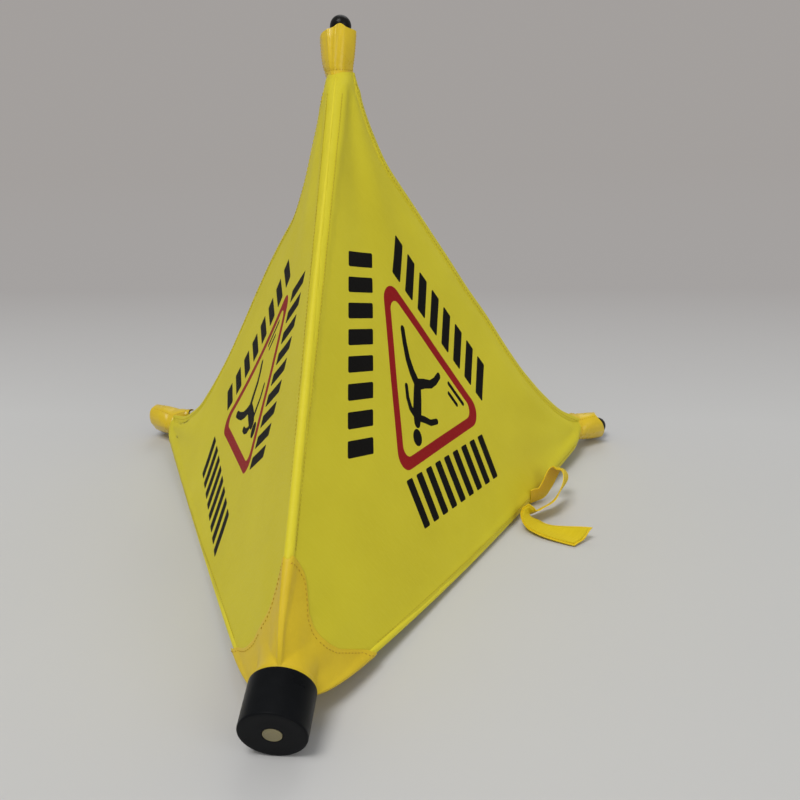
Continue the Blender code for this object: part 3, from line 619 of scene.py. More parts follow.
def plastic(name, base, rough, grain, scale=1400.0, wear=0.25, specular=0.4, dusty=0.035):
    """Moulded plastic: spark-eroded grain, faint scuffs and dusty patches."""
    mat = Material(name)
    vector = mat.coords("Object")
    grainy = mat.noise(vector, scale=scale, detail=2.0, roughness=0.5)
    patch = mat.noise(vector, scale=38.0, detail=5.0, roughness=0.62)
    scuff = mat.noise(mat.coords("Object", stretch=(1.0, 1.0, 9.0)),
                      scale=120.0, detail=4.0, roughness=0.75)
    dust = mat.remap(scuff, span=(0.58, 0.78), to=(0.0, wear))
    colour = mat.mix(mat.remap(patch, span=(0.3, 0.7)), toned(base, 0.8), toned(base, 1.15))
    mat.set({
        "Base Color": mat.mix(dust, colour, toned(base, 1.6, plus=dusty)),
        "Roughness": mat.remap(patch, span=(0.3, 0.7), to=(rough - 0.07, rough + 0.1)),
        "Specular IOR Level": specular,
    })
    mat.bump(mat.maths("ADD", grainy, scuff), strength=grain, distance=0.0003)
    return mat.material


def metal(name, base, rough, stretch=(1.0, 1.0, 1.0)):
    """Drawn or turned steel: fine lines, slight tarnish."""
    mat = Material(name)
    lines = mat.noise(mat.coords("Object", stretch), scale=900.0, detail=3.0, roughness=0.6)
    tarnish = mat.noise(mat.coords("Object"), scale=55.0, detail=5.0, roughness=0.65)
    mat.set({
        "Base Color": mat.mix(mat.remap(tarnish, span=(0.35, 0.75)), base, toned(base, 0.62)),
        "Metallic": 1.0,
        "Roughness": mat.remap(lines, span=(0.3, 0.7), to=(rough - 0.08, rough + 0.14)),
    })
    mat.bump(lines, strength=0.12, distance=0.0002)
    return mat.material


FABRIC = cloth("fabric_lemon", base=(0.742, 0.648, 0.029), shade=(0.675, 0.58, 0.022),
               tint=(0.79, 0.70, 0.05))
FABRIC_INSIDE = cloth("fabric_lemon_inside", base=(0.66, 0.57, 0.04), shade=(0.58, 0.50, 0.035),
                      tint=(0.72, 0.64, 0.07), rough=0.65, weave=0.16)
INK = cloth("print_black", base=(0.0060, 0.0052, 0.0045), shade=(0.0045, 0.0040, 0.0035),
            tint=(0.012, 0.011, 0.009), sheen=0.0, specular=0.07)
RED = cloth("print_red", base=(0.34, 0.008, 0.009), shade=(0.30, 0.006, 0.008),
            tint=(0.40, 0.02, 0.017), rough=0.5, sheen=0.0, specular=0.12)
# the piping is the face cloth made about a tenth lighter: a painted highlight along the ridge crests
PIPING_PAINTED_HIGHLIGHT = cloth("fabric_piping_painted_highlight", base=(0.82, 0.71, 0.031), shade=(0.76, 0.65, 0.027),
               tint=(0.86, 0.76, 0.06), rough=0.5, weave=0.14, pitch=0.0008, sheen=0.2)
HEM_TAPE = cloth("fabric_hem", base=(0.735, 0.635, 0.026), shade=(0.675, 0.575, 0.022),
                 tint=(0.78, 0.69, 0.05), rough=0.52, weave=0.14)
VINYL = vinyl("vinyl_amber", base=(0.82, 0.585, 0.019), shade=(0.74, 0.51, 0.015),
              rough=0.27, coat=0.25, specular=0.35)
PATCH = vinyl("vinyl_patch", base=(0.78, 0.565, 0.026), shade=(0.71, 0.50, 0.020),
              rough=0.42, coat=0.03, specular=0.22)
WEBBING = cloth("strap_ribbon", base=(0.86, 0.62, 0.010), shade=(0.78, 0.54, 0.008),
                tint=(0.92, 0.70, 0.04), rough=0.42, pitch=0.0009, weave=0.2, sheen=0.1)
THREAD = cloth("thread_yellow", base=(0.62, 0.50, 0.03), shade=(0.52, 0.41, 0.02),
               tint=(0.72, 0.58, 0.07), rough=0.6, pitch=0.0004, weave=0.2, source="Object")
THREAD_AMBER = cloth("thread_amber", base=(0.60, 0.37, 0.025), shade=(0.52, 0.31, 0.02),
                     tint=(0.68, 0.44, 0.04), rough=0.6, pitch=0.0004, weave=0.2,
                     source="Object")
CAP_BLACK = plastic("cap_black", base=(0.0060, 0.0066, 0.0076), rough=0.34, grain=0.10,
                    wear=0.12, specular=0.06, dusty=0.006)
TIP_BLACK = plastic("tip_black", base=(0.0075, 0.0068, 0.0062), rough=0.30, grain=0.06,
                    wear=0.10, specular=0.15, dusty=0.010)
CREAM = plastic("plug_cream", base=(0.27, 0.235, 0.125), rough=0.5, grain=0.12, wear=0.3)
HUB_BLACK = plastic("hub_black", base=(0.022, 0.022, 0.024), rough=0.45, grain=0.14)
ROD = plastic("rod_glassfibre", base=(0.62, 0.60, 0.52), rough=0.38, grain=0.10, scale=700.0)
STEEL = metal("post_steel", base=(0.60, 0.60, 0.61), rough=0.30, stretch=(1.0, 1.0, 0.08))
ZINC = metal("fastener_zinc", base=(0.55, 0.55, 0.54), rough=0.34)
SPRING = metal("spring_wire", base=(0.46, 0.46, 0.48), rough=0.28)
HOOK = cloth("hook_tape", base=(0.83, 0.645, 0.017), shade=(0.74, 0.56, 0.013),
             tint=(0.90, 0.72, 0.04), rough=0.8, pitch=0.0016, weave=0.6, sheen=0.2)


# ---- print on the faces, in flat layout mm ---------------------------------
# corners of the print's triangle in its own layout: top, then the two at the bottom
TRIANGLE = [(0.0, 235.0), (90.0, 366.0), (-90.0, 366.0)]
# where those corners sit on each face
PLACED = [
    [(29.2, 240.2), (84.9, 357.5), (-99.9, 358.2)],
    [(0.0, 236.0), (90.0, 366.0), (-90.0, 366.0)],
    [(-13.7, 232.7), (97.5, 371.9), (-80.6, 370.3)],
]
RED_OUTER = [(0.0, 223.5), (105.0, 373.0), (-105.0, 373.0)]
RED_INNER = [(0.0, 241.0), (86.0, 363.5), (-86.0, 363.5)]
DOT_CENTRE, DOT_RADIUS, DOT_SIDES = (-9.5, 273.5), 7.6, 20
# round-ended black strokes inside the triangle: points, and the width at each
STROKES = [
    ([(-3.5, 286), (0, 294), (5, 306), (10, 317)], [11, 14.5, 14, 12]),
    ([(9.5, 319), (1, 327), (-8, 334), (-13, 342), (-16, 351)], [10.5, 9, 8, 7.5, 7]),
    ([(11, 318), (23, 322), (34, 328), (45, 338), (53, 347)], [10.5, 9.5, 8.5, 7.5, 7]),
    ([(-2.5, 290.5), (-13, 296.5), (-23, 301), (-31, 309)], [6.5, 6.5, 6, 5.5]),
    ([(1.5, 289.5), (11, 290.5), (19, 296), (25, 304)], [6.5, 6.5, 6, 5.5]),
    ([(-34, 357.3), (-48, 357.3), (-64, 357.3)], [4.2, 4.2, 4.2]),
    ([(-38, 348.6), (-46, 348.6), (-55, 348.6)], [4.0, 4.0, 4.0]),
]
# rows of slanted bars outside the triangle: start, end, width, count, lean
BAR_ROWS = [
    ((-30.5, 217.0), (-126.5, 344.0), 45.0, 9, 10.0),
    ((56.5, 202.0), (135.5, 362.0), 38.0, 8, 12.0),
    ((-88.0, 404.0), (96.0, 402.0), 38.0, 8, 12.0),
]
BAR_FILL = 0.6      # inked share of each bar's pitch
CLEAR, BLACK_INK, RED_INK, INSIDE = range(4)    # material numbers on the cover


def polar(radius, angle):
    return radius * np.array([math.cos(angle), math.sin(angle)])


def divided(points, step):
    """A closed outline with points added so that no side is longer than step."""
    out = []
    for a, b in zip(points, np.roll(points, -1, axis=0)):
        length = np.linalg.norm(b - a)
        if length < 1e-4:
            continue
        count = max(1, int(math.ceil(length / step)))
        out += [a + (b - a) * i / count for i in range(count)]
    return np.array(out)


def rounded(corners, radius, step=3.0):
    """A closed outline with rounded corners."""
    corners = [np.array(corner, float) for corner in corners]
    out = []
    for k, corner in enumerate(corners):
        back = unit(corners[k - 1] - corner)
        ahead = unit(corners[(k + 1) % len(corners)] - corner)
        half = math.acos(np.clip(back @ ahead, -1, 1)) / 2
        cut = radius / math.tan(half)
        centre = corner + unit(back + ahead) * radius / math.sin(half)
        start = math.atan2(*(corner + back * cut - centre)[::-1])
        end = math.atan2(*(corner + ahead * cut - centre)[::-1])
        sweep = (end - start + math.pi) % (2 * math.pi) - math.pi
        count = max(2, int(abs(sweep) * radius / step) + 1)
        out += [centre + polar(radius, start + sweep * i / count) for i in range(count + 1)]
    return divided(np.array(out), 5.0)


def stroke(points, widths):
    """Outline of a stroke of changing width with round ends."""
    points = np.array(points, float)
    half = np.array(widths, float) / 2
    tangent = unit(np.gradient(points, axis=0))
    side = np.stack([-tangent[:, 1], tangent[:, 0]], 1) * half[:, None]

    def round_end(end, quarter):
        start = math.atan2(tangent[end][1], tangent[end][0]) + quarter
        return [points[end] + polar(half[end], start - math.pi * k / 6) for k in range(1, 6)]

    outline = (list(points + side) + round_end(-1, math.pi / 2)
               + list((points - side)[::-1]) + round_end(0, -math.pi / 2))
    return divided(np.array(outline), 4.0)


def bars(start, end, width, count, lean):
    """A row of slanted bars along a line."""
    start = np.array(start, float)
    along = np.array(end, float) - start
    length = np.linalg.norm(along)
    along /= length
    side = np.array([-along[1], along[0]])
    pitch = length / (count - 1 + BAR_FILL)
    out = []
    for k in range(count):
        near, far = k * pitch, k * pitch + pitch * BAR_FILL
        corners = [start + along * (near - lean / 2) - side * width / 2,
                   start + along * (far - lean / 2) - side * width / 2,
                   start + along * (far + lean / 2) + side * width / 2,
                   start + along * (near + lean / 2) + side * width / 2]
        out.append(rounded(corners, 1.6, step=1.2))
    return out


def prints():
    """(outline, ink) pairs; a later one covers an earlier one."""
    angle = np.arange(DOT_SIDES) * 2 * math.pi / DOT_SIDES
    dot = np.stack([DOT_CENTRE[0] + DOT_RADIUS * np.cos(angle),
                    DOT_CENTRE[1] + DOT_RADIUS * np.sin(angle)], 1)
    black = [dot] + [stroke(*row) for row in STROKES]
    for row in BAR_ROWS:
        black += bars(*row)
    return ([(rounded(RED_OUTER, 15.0), RED_INK), (rounded(RED_INNER, 9.0), CLEAR)]
            + [(outline, BLACK_INK) for outline in black])


PRINTS = prints()


def placed(face, points):
    """Moves print points from their own layout to where they sit on a face."""
    source = np.array([(x, y, 1.0) for x, y in TRIANGLE])
    move = np.linalg.solve(source, np.array(PLACED[face]))
    return np.c_[points, np.ones(len(points))] @ move


def inside(outline, points):
    """Which points are inside a closed outline."""
    x, y = points[:, 0], points[:, 1]
    hit = np.zeros(len(points), bool)
    for (x0, y0), (x1, y1) in zip(outline, np.roll(outline, -1, axis=0)):
        if y0 != y1:
            hit ^= ((y0 > y) != (y1 > y)) & (x < (x1 - x0) * (y - y0) / (y1 - y0) + x0)
    return hit


def near(outline, points, limit):
    """Which points are closer than limit to an outline."""
    side = (np.roll(outline, -1, axis=0) - outline)[None]
    start, points = outline[None], points[:, None]
    share = ((points - start) * side).sum(2) / np.maximum((side ** 2).sum(2), 1e-9)
    closest = start + side * np.clip(share, 0, 1)[..., None]
    return np.linalg.norm(points - closest, axis=2).min(1) < limit


# ---- finished surface of the cloth -----------------------------------------
TIP_ACROSS, TIP_DOWN = np.abs(flat(2, ridge(2, 1.0))[0]), flat(2, ridge(2, 1.0))[1]


def ripple(face, points):
    """How far the cloth stands off its smooth shape, in mm, at flat layout points."""
    x, y = points[:, 0], points[:, 1]
    height = 0.8 * smooth_noise(x / 55, y / 55, 11 + face)
    height += 0.30 * smooth_noise(x / 17, y / 17, 31 + face)
    # folds fanning out from the two leg tips
    for side in (-1, 1):
        from_x, from_y = x - side * (TIP_ACROSS - 4), y - (TIP_DOWN + 2)
        reach = np.hypot(from_x, from_y)
        angle = np.arctan2(-from_y, -side * from_x)
        close = np.exp(-reach / 75.0) * smoothstep(reach, 8, 30)
        height += close * (1.25 * np.cos(angle * 9 + 0.6 * side + face)
                           + 0.45 * np.cos(angle * 17 + 2.0 * face + side))
        distant = np.exp(-((reach - 120) / 95.0) ** 2)
        height += distant * (1.0 * np.cos(angle * 8 + 1.3 * face - 0.7 * side)
                             + 0.9 * np.cos(angle * 15 + 0.9 * face + 1.1 * side))
    # and from the cap
    reach = np.hypot(x, y + 10)
    height += np.exp(-reach / 60.0) * 1.0 * np.cos(np.arctan2(x, y + 10) * 9 + face)
    return height


def skin(face, across, down):
    """The finished outer surface of a face at paired across and down."""
    base = panel(face, across, down)
    open_cloth = smoothstep(np.minimum(across, 1 - across), 0.0, 0.05)
    fade = open_cloth * smoothstep(down, 0.0, 0.05) * (1 - 0.65 * smoothstep(down, 0.93, 1.0))
    out = base + (ripple(face, flat(face, base)) * fade)[..., None] * PLANES[face][3]
    # the cloth leaves the round cap round, and flattens as it goes down
    radius = np.hypot(out[..., 0], out[..., 1])
    widen = 1 + (np.maximum(23.2 - radius, 0) / np.maximum(radius, 1.0)
                 * np.exp(-(np.clip(down, 0, 1) / 0.05) ** 1.3))
    return out * np.stack([widen, widen, np.ones_like(widen)], -1)


def skin_normal(face, across, down):
    step = 0.004
    left, right = np.clip(across - step, 0, 1), np.clip(across + step, 0, 1)
    above, below = np.clip(down - step, 0, 1), np.clip(down + step, 0, 1)
    normal = unit(np.cross(skin(face, right, down) - skin(face, left, down),
                           skin(face, across, below) - skin(face, across, above)))
    return np.where((normal @ PLANES[face][3])[:, None] < 0, -normal, normal)


def raised(face, across, down, amount):
    """Face points raised by amount mm, with their outward normals."""
    normal = skin_normal(face, across, down)
    return skin(face, across, down) + normal * amount, normal


def near_side(leg):
    """The two faces beside a leg, each with a map from 0 on its ridge and 0.5 on the
    face's mid-line to across."""
    return (((leg - 1) % 3, lambda x: 1 - x), (leg, lambda x: x))


# ---- cover: faces laid out flat, triangulated round their print, then bent to shape ----
GRID_STEP = 5.0


def face_boundary():
    """(across, down) down the first ridge, along the hem, up the second and over the top."""
    downs = np.concatenate([[0.0, 0.008, 0.016, 0.025, 0.035],
                            np.linspace(0.046, 0.93, 100), np.linspace(0.936, 1.0, 12)])
    half = np.concatenate([np.linspace(0, NECK, 9), np.linspace(NECK, 0.5, 66)[1:]])
    hem = np.concatenate([half, 1 - half[::-1][1:]])
    return np.array([(0.0, x) for x in downs] + [(x, 1.0) for x in hem[1:]]
                    + [(1.0, x) for x in downs[::-1][1:]]
                    + [(x, 0.0) for x in np.linspace(1, 0, 9)[1:-1]])


BOUNDARY = face_boundary()


def ring_edges(first, count):
    return [(first + k, first + (k + 1) % count) for k in range(count)]


def face_mesh(face):
    """Flat points, across, down, triangles, triangle centres and ink of a face."""
    outline = flat(face, panel(face, BOUNDARY[:, 0], BOUNDARY[:, 1]))[:, :2]
    edges = ring_edges(0, len(outline))
    # the mid-line, where the cloth of one leg meets the next
    top = np.where(np.abs(outline[:, 0]) < 30, outline[:, 1], 1e9).min()
    hem_mid = hem_edge(face, np.array([0.5]))[0] - PLANES[face][3] * BOW[face]
    mids = np.arange(top + 4, flat(face, hem_mid)[1] - 2.5, 4.6)
    edges += [(len(outline) + k, len(outline) + k + 1) for k in range(len(mids) - 1)]
    points = [outline, np.stack([np.zeros(len(mids)), mids], 1)]
    shapes = [(placed(face, shape), ink) for shape, ink in PRINTS]
    first = len(outline) + len(mids)
    for shape, _ in shapes:
        points.append(shape)
        edges += ring_edges(first, len(shape))
        first += len(shape)
    # staggered rows of points fill what is left
    low, high = outline.min(0), outline.max(0)
    rows = np.arange(low[1], high[1], GRID_STEP * 0.866)
    grid = np.array([(x + (0.5 * GRID_STEP if row % 2 else 0), y) for row, y in enumerate(rows)
                     for x in np.arange(low[0], high[0], GRID_STEP)])
    grid = grid[inside(outline, grid)]
    grid = grid[~near(outline, grid, GRID_STEP * 0.55)]
    grid = grid[(np.abs(grid[:, 0]) > GRID_STEP * 0.5) | (grid[:, 1] > mids[-1] + 4)]
    for shape, _ in shapes:
        grid = grid[~near(shape, grid, GRID_STEP * 0.42)]
    points = np.concatenate(points + [grid])
    found = delaunay_2d_cdt([Vector(point) for point in points.tolist()], edges, [], 0, 1e-4,
                            False)
    points = np.array([tuple(point) for point in found[0]], float)
    triangles = np.array(list(found[2]), int)
    centres = points[triangles].mean(1)
    a, b, c = (points[triangles[:, k]] for k in range(3))
    area = np.abs(np.cross(b - a, c - a)) / 2
    keep = inside(outline, centres) & (area > 1e-3)
    triangles, centres = triangles[keep], centres[keep]
    inks = np.zeros(len(triangles), int)
    for shape, ink in shapes:
        inks[inside(shape, centres)] = ink
    across, down = locate(face, points)
    # outline points keep the exact edge they came from
    known = {(round(x, 2), round(y, 2)): k for k, (x, y) in enumerate(outline)}
    for k, (x, y) in enumerate(points):
        source = known.get((round(x, 2), round(y, 2)))
        if source is not None:
            across[k], down[k] = BOUNDARY[source]
    return points, np.clip(across, 0, 1), np.clip(down, 0, 1), triangles, centres, inks


FACES = [face_mesh(face) for face in range(3)]
COVER_NAMES = ("left", "floor", "right")    # how the frame names the cover and hem pieces


def make_cover(leg):
    """The cloth over a leg: the near halves of its two faces, as one sheet with thickness."""
    verts, normals, uv, outer, index = [], [], [], [], []
    on_ridge = {}       # ridge vertices shared by the two faces, by how far down they are
    for face, side in (((leg - 1) % 3, 1), (leg, -1)):
        points, across, down, triangles, centres, inks = FACES[face]
        pick = centres[:, 0] * side > 0
        used = np.unique(triangles[pick])
        surface = skin(face, across[used], down[used])
        surface_normals = skin_normal(face, across[used], down[used])
        number = -np.ones(len(points), int)
        for source, point, normal in zip(used, surface, surface_normals):
            from_ridge = across[source] if side < 0 else 1 - across[source]
            key = round(float(down[source]), 6) if from_ridge < 1e-9 else None
            if key in on_ridge:
                number[source] = on_ridge[key]
                normals[on_ridge[key]] = normals[on_ridge[key]] + normal
                continue
            number[source] = len(verts)
            if key is not None:
                on_ridge[key] = len(verts)
            verts.append(point)
            normals.append(normal)
            uv.append(points[source] * 0.001 + np.array([face * 0.9, 0.0]))
        for triangle, ink in zip(triangles[pick], inks[pick]):
            a, b, c = number[triangle]
            if len({a, b, c}) < 3:
                continue
            if np.cross(verts[b] - verts[a], verts[c] - verts[a]) @ PLANES[face][3] < 0:
                b, c = c, b
            outer.append((a, b, c))
            index.append(ink)
    outside, normals, uv = np.array(verts), unit(np.array(normals)), np.array(uv)
    count = len(outside)
    faces = outer + [(a + count, c + count, b + count) for a, b, c in outer]
    edges = dict.fromkeys(edge for a, b, c in outer for edge in ((a, b), (b, c), (c, a)))
    faces += [(b, a, a + count, b + count) for a, b in edges if (b, a) not in edges]
    index += [INSIDE] * (len(faces) - len(outer))
    verts = np.concatenate([outside, outside - normals * CLOTH_THICK])
    cover = add("cover_" + LEGS[leg], verts, faces, [FABRIC, INK, RED, FABRIC_INSIDE],
                np.concatenate([uv, uv]), index)
    cover.data.set_sharp_from_angle(angle=math.radians(75))
    hang(cover, leg, np.tile(fold_weight(outside, leg), 2))
    tag("cover_panel_" + COVER_NAMES[leg])


for leg in range(3):
    make_cover(leg)


# ---- ridge piping ----------------------------------------------------------
PUCKER_PITCH = 4.1      # one pucker per stitch, stitch and gap together


def bead(share):
    """Radius of the corded ridge: thin at the cap, full along the ridge, thinner at the tip."""
    return ((0.9 + 3.3 * smoothstep(share, 0.01, 0.15))
            * (1 - 0.62 * smoothstep(share, 0.38, 0.92))
            * (0.7 + 0.3 * smoothstep(1 - share, 0.0, 0.06)))


def make_piping(leg):
    share = np.linspace(0.0, 0.988, 260)
    crest, out = ridge(leg, share), ridge_out(leg)
    run = run_along(crest)
    radius = bead(share) * (1 + 0.018 * np.sin(run * 2 * math.pi / PUCKER_PITCH)
                            + 0.05 * smooth_noise(run / 19, 0, 5 + leg))
    sway = 0.4 * smooth_noise(run / 45, 0, 50 + leg) * smoothstep(share, 0.1, 0.2)
    centre = crest + out * (0.3 - radius)[:, None] + leg_axes(leg)[2] * sway[:, None]
    verts, faces, uv = tube(centre, radius, sides=26, up=out)
    # the piping's cloth carries a painted highlight: it is the face fabric made lighter
    piping = add_solid("ridge_piping_" + LEGS[leg], verts, faces, [PIPING_PAINTED_HIGHLIGHT], uv)
    hang(piping, leg, fold_weight(verts, leg))
    tag("ridge_seam_" + LEGS[leg])


for leg in range(3):
    make_piping(leg)

# ---- hems: a folded binding round the open edge, one piece per leg ---------
# section of the binding: distance in from the cloth's edge, height off the cloth
HEM_SECTION = [
    (9.6, 0.20), (9.3, 0.72), (5.0, 0.86), (0.6, 0.86), (-0.7, 0.45), (-1.0, -0.25),
    (-0.7, -0.95), (0.6, -1.42), (5.0, -1.42), (9.3, -1.3), (9.6, -0.7),
]
HEM_STATIONS = np.concatenate([np.linspace(0.046, 0.06, 4), np.linspace(0.065, 0.5, 100)])


def make_hem(leg):
    verts, faces, uv = [], [], []
    sides, count = len(HEM_SECTION), len(HEM_STATIONS)
    for face, at in near_side(leg):
        across = at(HEM_STATIONS)
        hem = np.ones_like(across)
        edge = skin(face, across, hem)
        normal = skin_normal(face, across, hem * 0.995)
        tangent = unit(np.gradient(edge, axis=0))
        inward = without(skin(face, across, hem - 0.02) - edge, tangent)
        inward = unit(without(inward, normal))
        run = run_along(edge)
        pucker = 0.12 * np.sin(run * 2 * math.pi / PUCKER_PITCH)
        narrow = smoothstep(HEM_STATIONS, 0.04, 0.09) * 0.75 + 0.25
        rings = np.stack([
            edge + inward * (reach * narrow)[:, None]
            + normal * (height + pucker * (0 < j < 4))[:, None]
            for j, (reach, height) in enumerate(HEM_SECTION)], 1)
        faces += bar_faces(count, sides, base=count * sides * len(verts))
        verts.append(rings.reshape(-1, 3))
        reaches = np.array([reach for reach, _ in HEM_SECTION])
        uv.append(grid_uv(reaches + np.arange(sides) * 0.4, run) * 0.001)
    verts = np.concatenate(verts)
    binding = add_solid("hem_binding_" + LEGS[leg], verts, faces, [HEM_TAPE],
                        np.concatenate(uv), sharp=60)
    hang(binding, leg, fold_weight(verts, leg))
    tag("hem_" + COVER_NAMES[leg])


for leg in range(3):
    make_hem(leg)

# ---- cap patch -------------------------------------------------------------
# lower outline of the patch from a ridge to the mid-line: across from the ridge, then down
STEEP = ([0.0, 0.045, 0.11, 0.19, 0.245, 0.30, 0.40, 0.5],
         [0.1265, 0.133, 0.1395, 0.138, 0.117, 0.094, 0.082, 0.079])
SOFT = ([0.0, 0.08, 0.2, 0.28, 0.4, 0.5], [0.131, 0.124, 0.103, 0.089, 0.080, 0.079])
LEFT_TOP = ([0.0, 0.045, 0.10, 0.17, 0.25, 0.36, 0.5],
            [0.1265, 0.132, 0.133, 0.127, 0.115, 0.099, 0.092])
LEFT_LOW = ([0.0, 0.07, 0.2, 0.35, 0.5], [0.131, 0.122, 0.104, 0.094, 0.092])
# the outline beside each face's first and second leg
PATCH_OUTLINES = [(LEFT_TOP, LEFT_LOW), (STEEP, STEEP), (SOFT, STEEP)]
PATCH_COLUMNS = np.concatenate([[0, 0.012, 0.024, 0.037, 0.052, 0.07, 0.09, 0.115, 0.145],
                                np.linspace(0.175, 0.5, 14)])
PATCH_ROWS = np.concatenate([[0.0, 0.03, 0.07], np.linspace(0.12, 0.9, 22),
                             [0.94, 0.97, 0.99, 1.0]])
# rings tucked into the cap: height, radius, then the share of each kept against the
# patch's own first row, and the uv offset from that row
PATCH_COLLAR = [
    (CAP_RIM + 6.0, 22.7, 1.0, 1.0, -0.009),
    (CAP_RIM + 2.0, 22.8, 1.0, 1.0, -0.006),
    (CAP_RIM - 0.2, 23.0, 1.0, 1.0, -0.004),
    (CAP_RIM - 1.4, 23.2, 0.6, 0.7, -0.002),
]


def patch_depth(face, across):
    """How far down a face the patch reaches, smoothed."""
    first, second = PATCH_OUTLINES[face]
    grid = np.linspace(0, 1, 401)
    depth = np.where(grid <= 0.5, np.interp(grid, *first), np.interp(1 - grid, *second))
    window = np.hanning(23)
    depth = np.convolve(np.pad(depth, 11, mode="edge"), window / window.sum(), "valid")
    return np.interp(across, grid, depth)


def patch_point(face, across, down, extra=0.0):
    """Patch surface and normals: the face raised a little, with a rib over the piping."""
    points, normals = raised(face, across, down, 0.75 + extra)
    radius = bead(down) + 0.55
    for leg in (face, face + 1):
        distance = np.linalg.norm(points - ridge(leg, down), axis=1)
        capped = np.minimum(distance, 1.45 * radius)
        round_part = np.sqrt(np.maximum(radius ** 2 - (0.553 * capped) ** 2, 0))
        rib = np.maximum(-(radius - 0.3) + round_part + 0.833 * capped, 0)
        rib = rib * (1 - smoothstep(distance, 1.45 * radius, 2.5 * radius))
        points = points + ridge_out(leg % 3) * (rib * smoothstep(down, 0.0, 0.02))[:, None]
    return points, normals


def patch_column(leg, face, across, on_ridge):
    """Points, normals and uv of one column of the patch, from inside the cap downwards."""
    across = np.full(len(PATCH_ROWS), across)
    down = PATCH_ROWS * patch_depth(face, across[:1])[0] + 0.003
    points, normals = patch_point(face, across, down)
    if on_ridge:
        normals = np.broadcast_to(ridge_out(leg), normals.shape)
    start = points[0]
    radius = math.hypot(start[0], start[1])
    radial = np.array([start[0] / radius, start[1] / radius, 0.0])
    collar = []
    for height, ring_radius, keep_z, keep_radius, _ in PATCH_COLLAR:
        ring = radial * (ring_radius * keep_radius + radius * (1 - keep_radius))
        ring[2] = height * keep_z + start[2] * (1 - keep_z)
        collar.append(ring)
    uv = flat(face, points)[:, :2] * 0.001
    collar_uv = uv[0] + np.array([(0, row[4]) for row in PATCH_COLLAR])
    return (np.concatenate([collar, points]),
            np.concatenate([[radial] * len(PATCH_COLLAR), normals]),
            np.concatenate([collar_uv, uv]))


def make_patch(leg):
    (before, at_before), (after, at_after) = near_side(leg)
    columns = [patch_column(leg, before, at_before(x), x == 0) for x in PATCH_COLUMNS[::-1]]
    columns += [patch_column(leg, after, at_after(x), False) for x in PATCH_COLUMNS[1:]]
    grid, normals, uv = (np.stack(parts, 1) for parts in zip(*columns))
    normals, uv = unit(normals), uv.reshape(-1, 2)
    thickness = np.ones(grid.shape[:2] + (1,))
    thickness[-1] = 0.35
    verts, faces = shell(grid + normals * (0.36 * thickness), grid - normals * (0.30 * thickness))
    patch = add_solid("cap_patch_" + LEGS[leg], verts, faces, [PATCH],
                      np.concatenate([uv, uv]), sharp=70)
    hang(patch, leg, fold_weight(verts, leg))
    tag("cap_patch" if leg == 0 else None)


for leg in range(3):
    make_patch(leg)


# ---- sewing thread ---------------------------------------------------------
def hem_line(face, at, inset=6.6):
    """A seam at an even inset from the hem."""
    across = at(np.linspace(0.055, 0.5, 240))
    hem = np.ones_like(across)
    edge = skin(face, across, hem)
    down = 1 - inset / 430.0 * hem
    for _ in range(2):
        distance = np.linalg.norm(skin(face, across, down) - edge, axis=1)
        down = 1 - (1 - down) * inset / np.maximum(distance, 1e-3)
    return raised(face, across, down, 0.86)


def ridge_line(face, at):
    """A seam 9 mm from a ridge."""
    down = np.linspace(0.148, 0.955, 420)
    return raised(face, at(9.0 / ridge_gap(face, down)), down, 0.05)


def patch_line(face, at):
    """A seam 3.6 mm inside the lower edge of the cap patch."""
    across = at(np.linspace(0.03, 0.5, 120))
    return patch_point(face, across, patch_depth(face, across) - 3.6 / 515.0, extra=0.36)


def cross_line(share):
    """A short row across the seam on the right of the top ridge."""
    down = np.full(12, share)
    across = 1 - np.linspace(7.0, 11.5, 12) / ridge_gap(2, down)
    return raised(2, across, down, 0.05)


for leg in range(3):
    sides = near_side(leg)
    ridge_lines = [ridge_line(*side) for side in sides]
    if leg == 0:
        ridge_lines += [cross_line(share) for share in np.linspace(0.150, 0.182, 7)]
    sew("hem_stitches", leg, [hem_line(*side) for side in sides], THREAD)
    sew("ridge_stitches", leg, ridge_lines, THREAD, radius=0.36)
    sew("patch_stitches", leg, [patch_line(*side) for side in sides], THREAD_AMBER,
        length=2.6, gap=1.2, radius=0.40)

# ---- leg tips: vinyl sleeves -----------------------------------------------
# Per leg. mouth: reach at the sides and how much further at mid width, cap side then far
# side. size: width and height factors. seat: sideways shift, and gain by the mouth.
# tail: angle and length of a tab running back along the leg. gathered: extra length drawn
# in round the rod. body: share of the full section against the lens-shaped one.
# creases: side position at the inner end and at the mouth, height, width.
SLEEVES = [
    dict(mouth=(351.3, 6.0, 349.0, 4.0), size=(1.07, 1.05), seat=(2.2, 0.0), tail=(0.0, 19.0),
         gathered=0.0, body=0.35,
         creases=((5.2, 8.6, 1.9, 1.6), (2.2, -0.8, 2.1, 1.6), (-7.0, -8.5, 0.6, 2.5))),
    dict(mouth=(352.5, 4.0, 352.0, 3.0), size=(1.34, 1.05), seat=(-3.0, -6.0),
         tail=(math.pi, 0.0), gathered=16.0, body=0.75,
         creases=((-4.0, -6.0, 0.6, 3.0), (4.0, 6.0, 0.5, 3.0))),
    dict(mouth=(350.5, 9.5, 350.0, 3.0), size=(1.24, 0.96), seat=(0.8, 3.7), tail=(0.0, 15.0),
         gathered=0.0, body=0.75,
         creases=((-5.0, -7.0, 0.6, 3.0), (3.0, 5.0, 0.6, 2.6))),
]
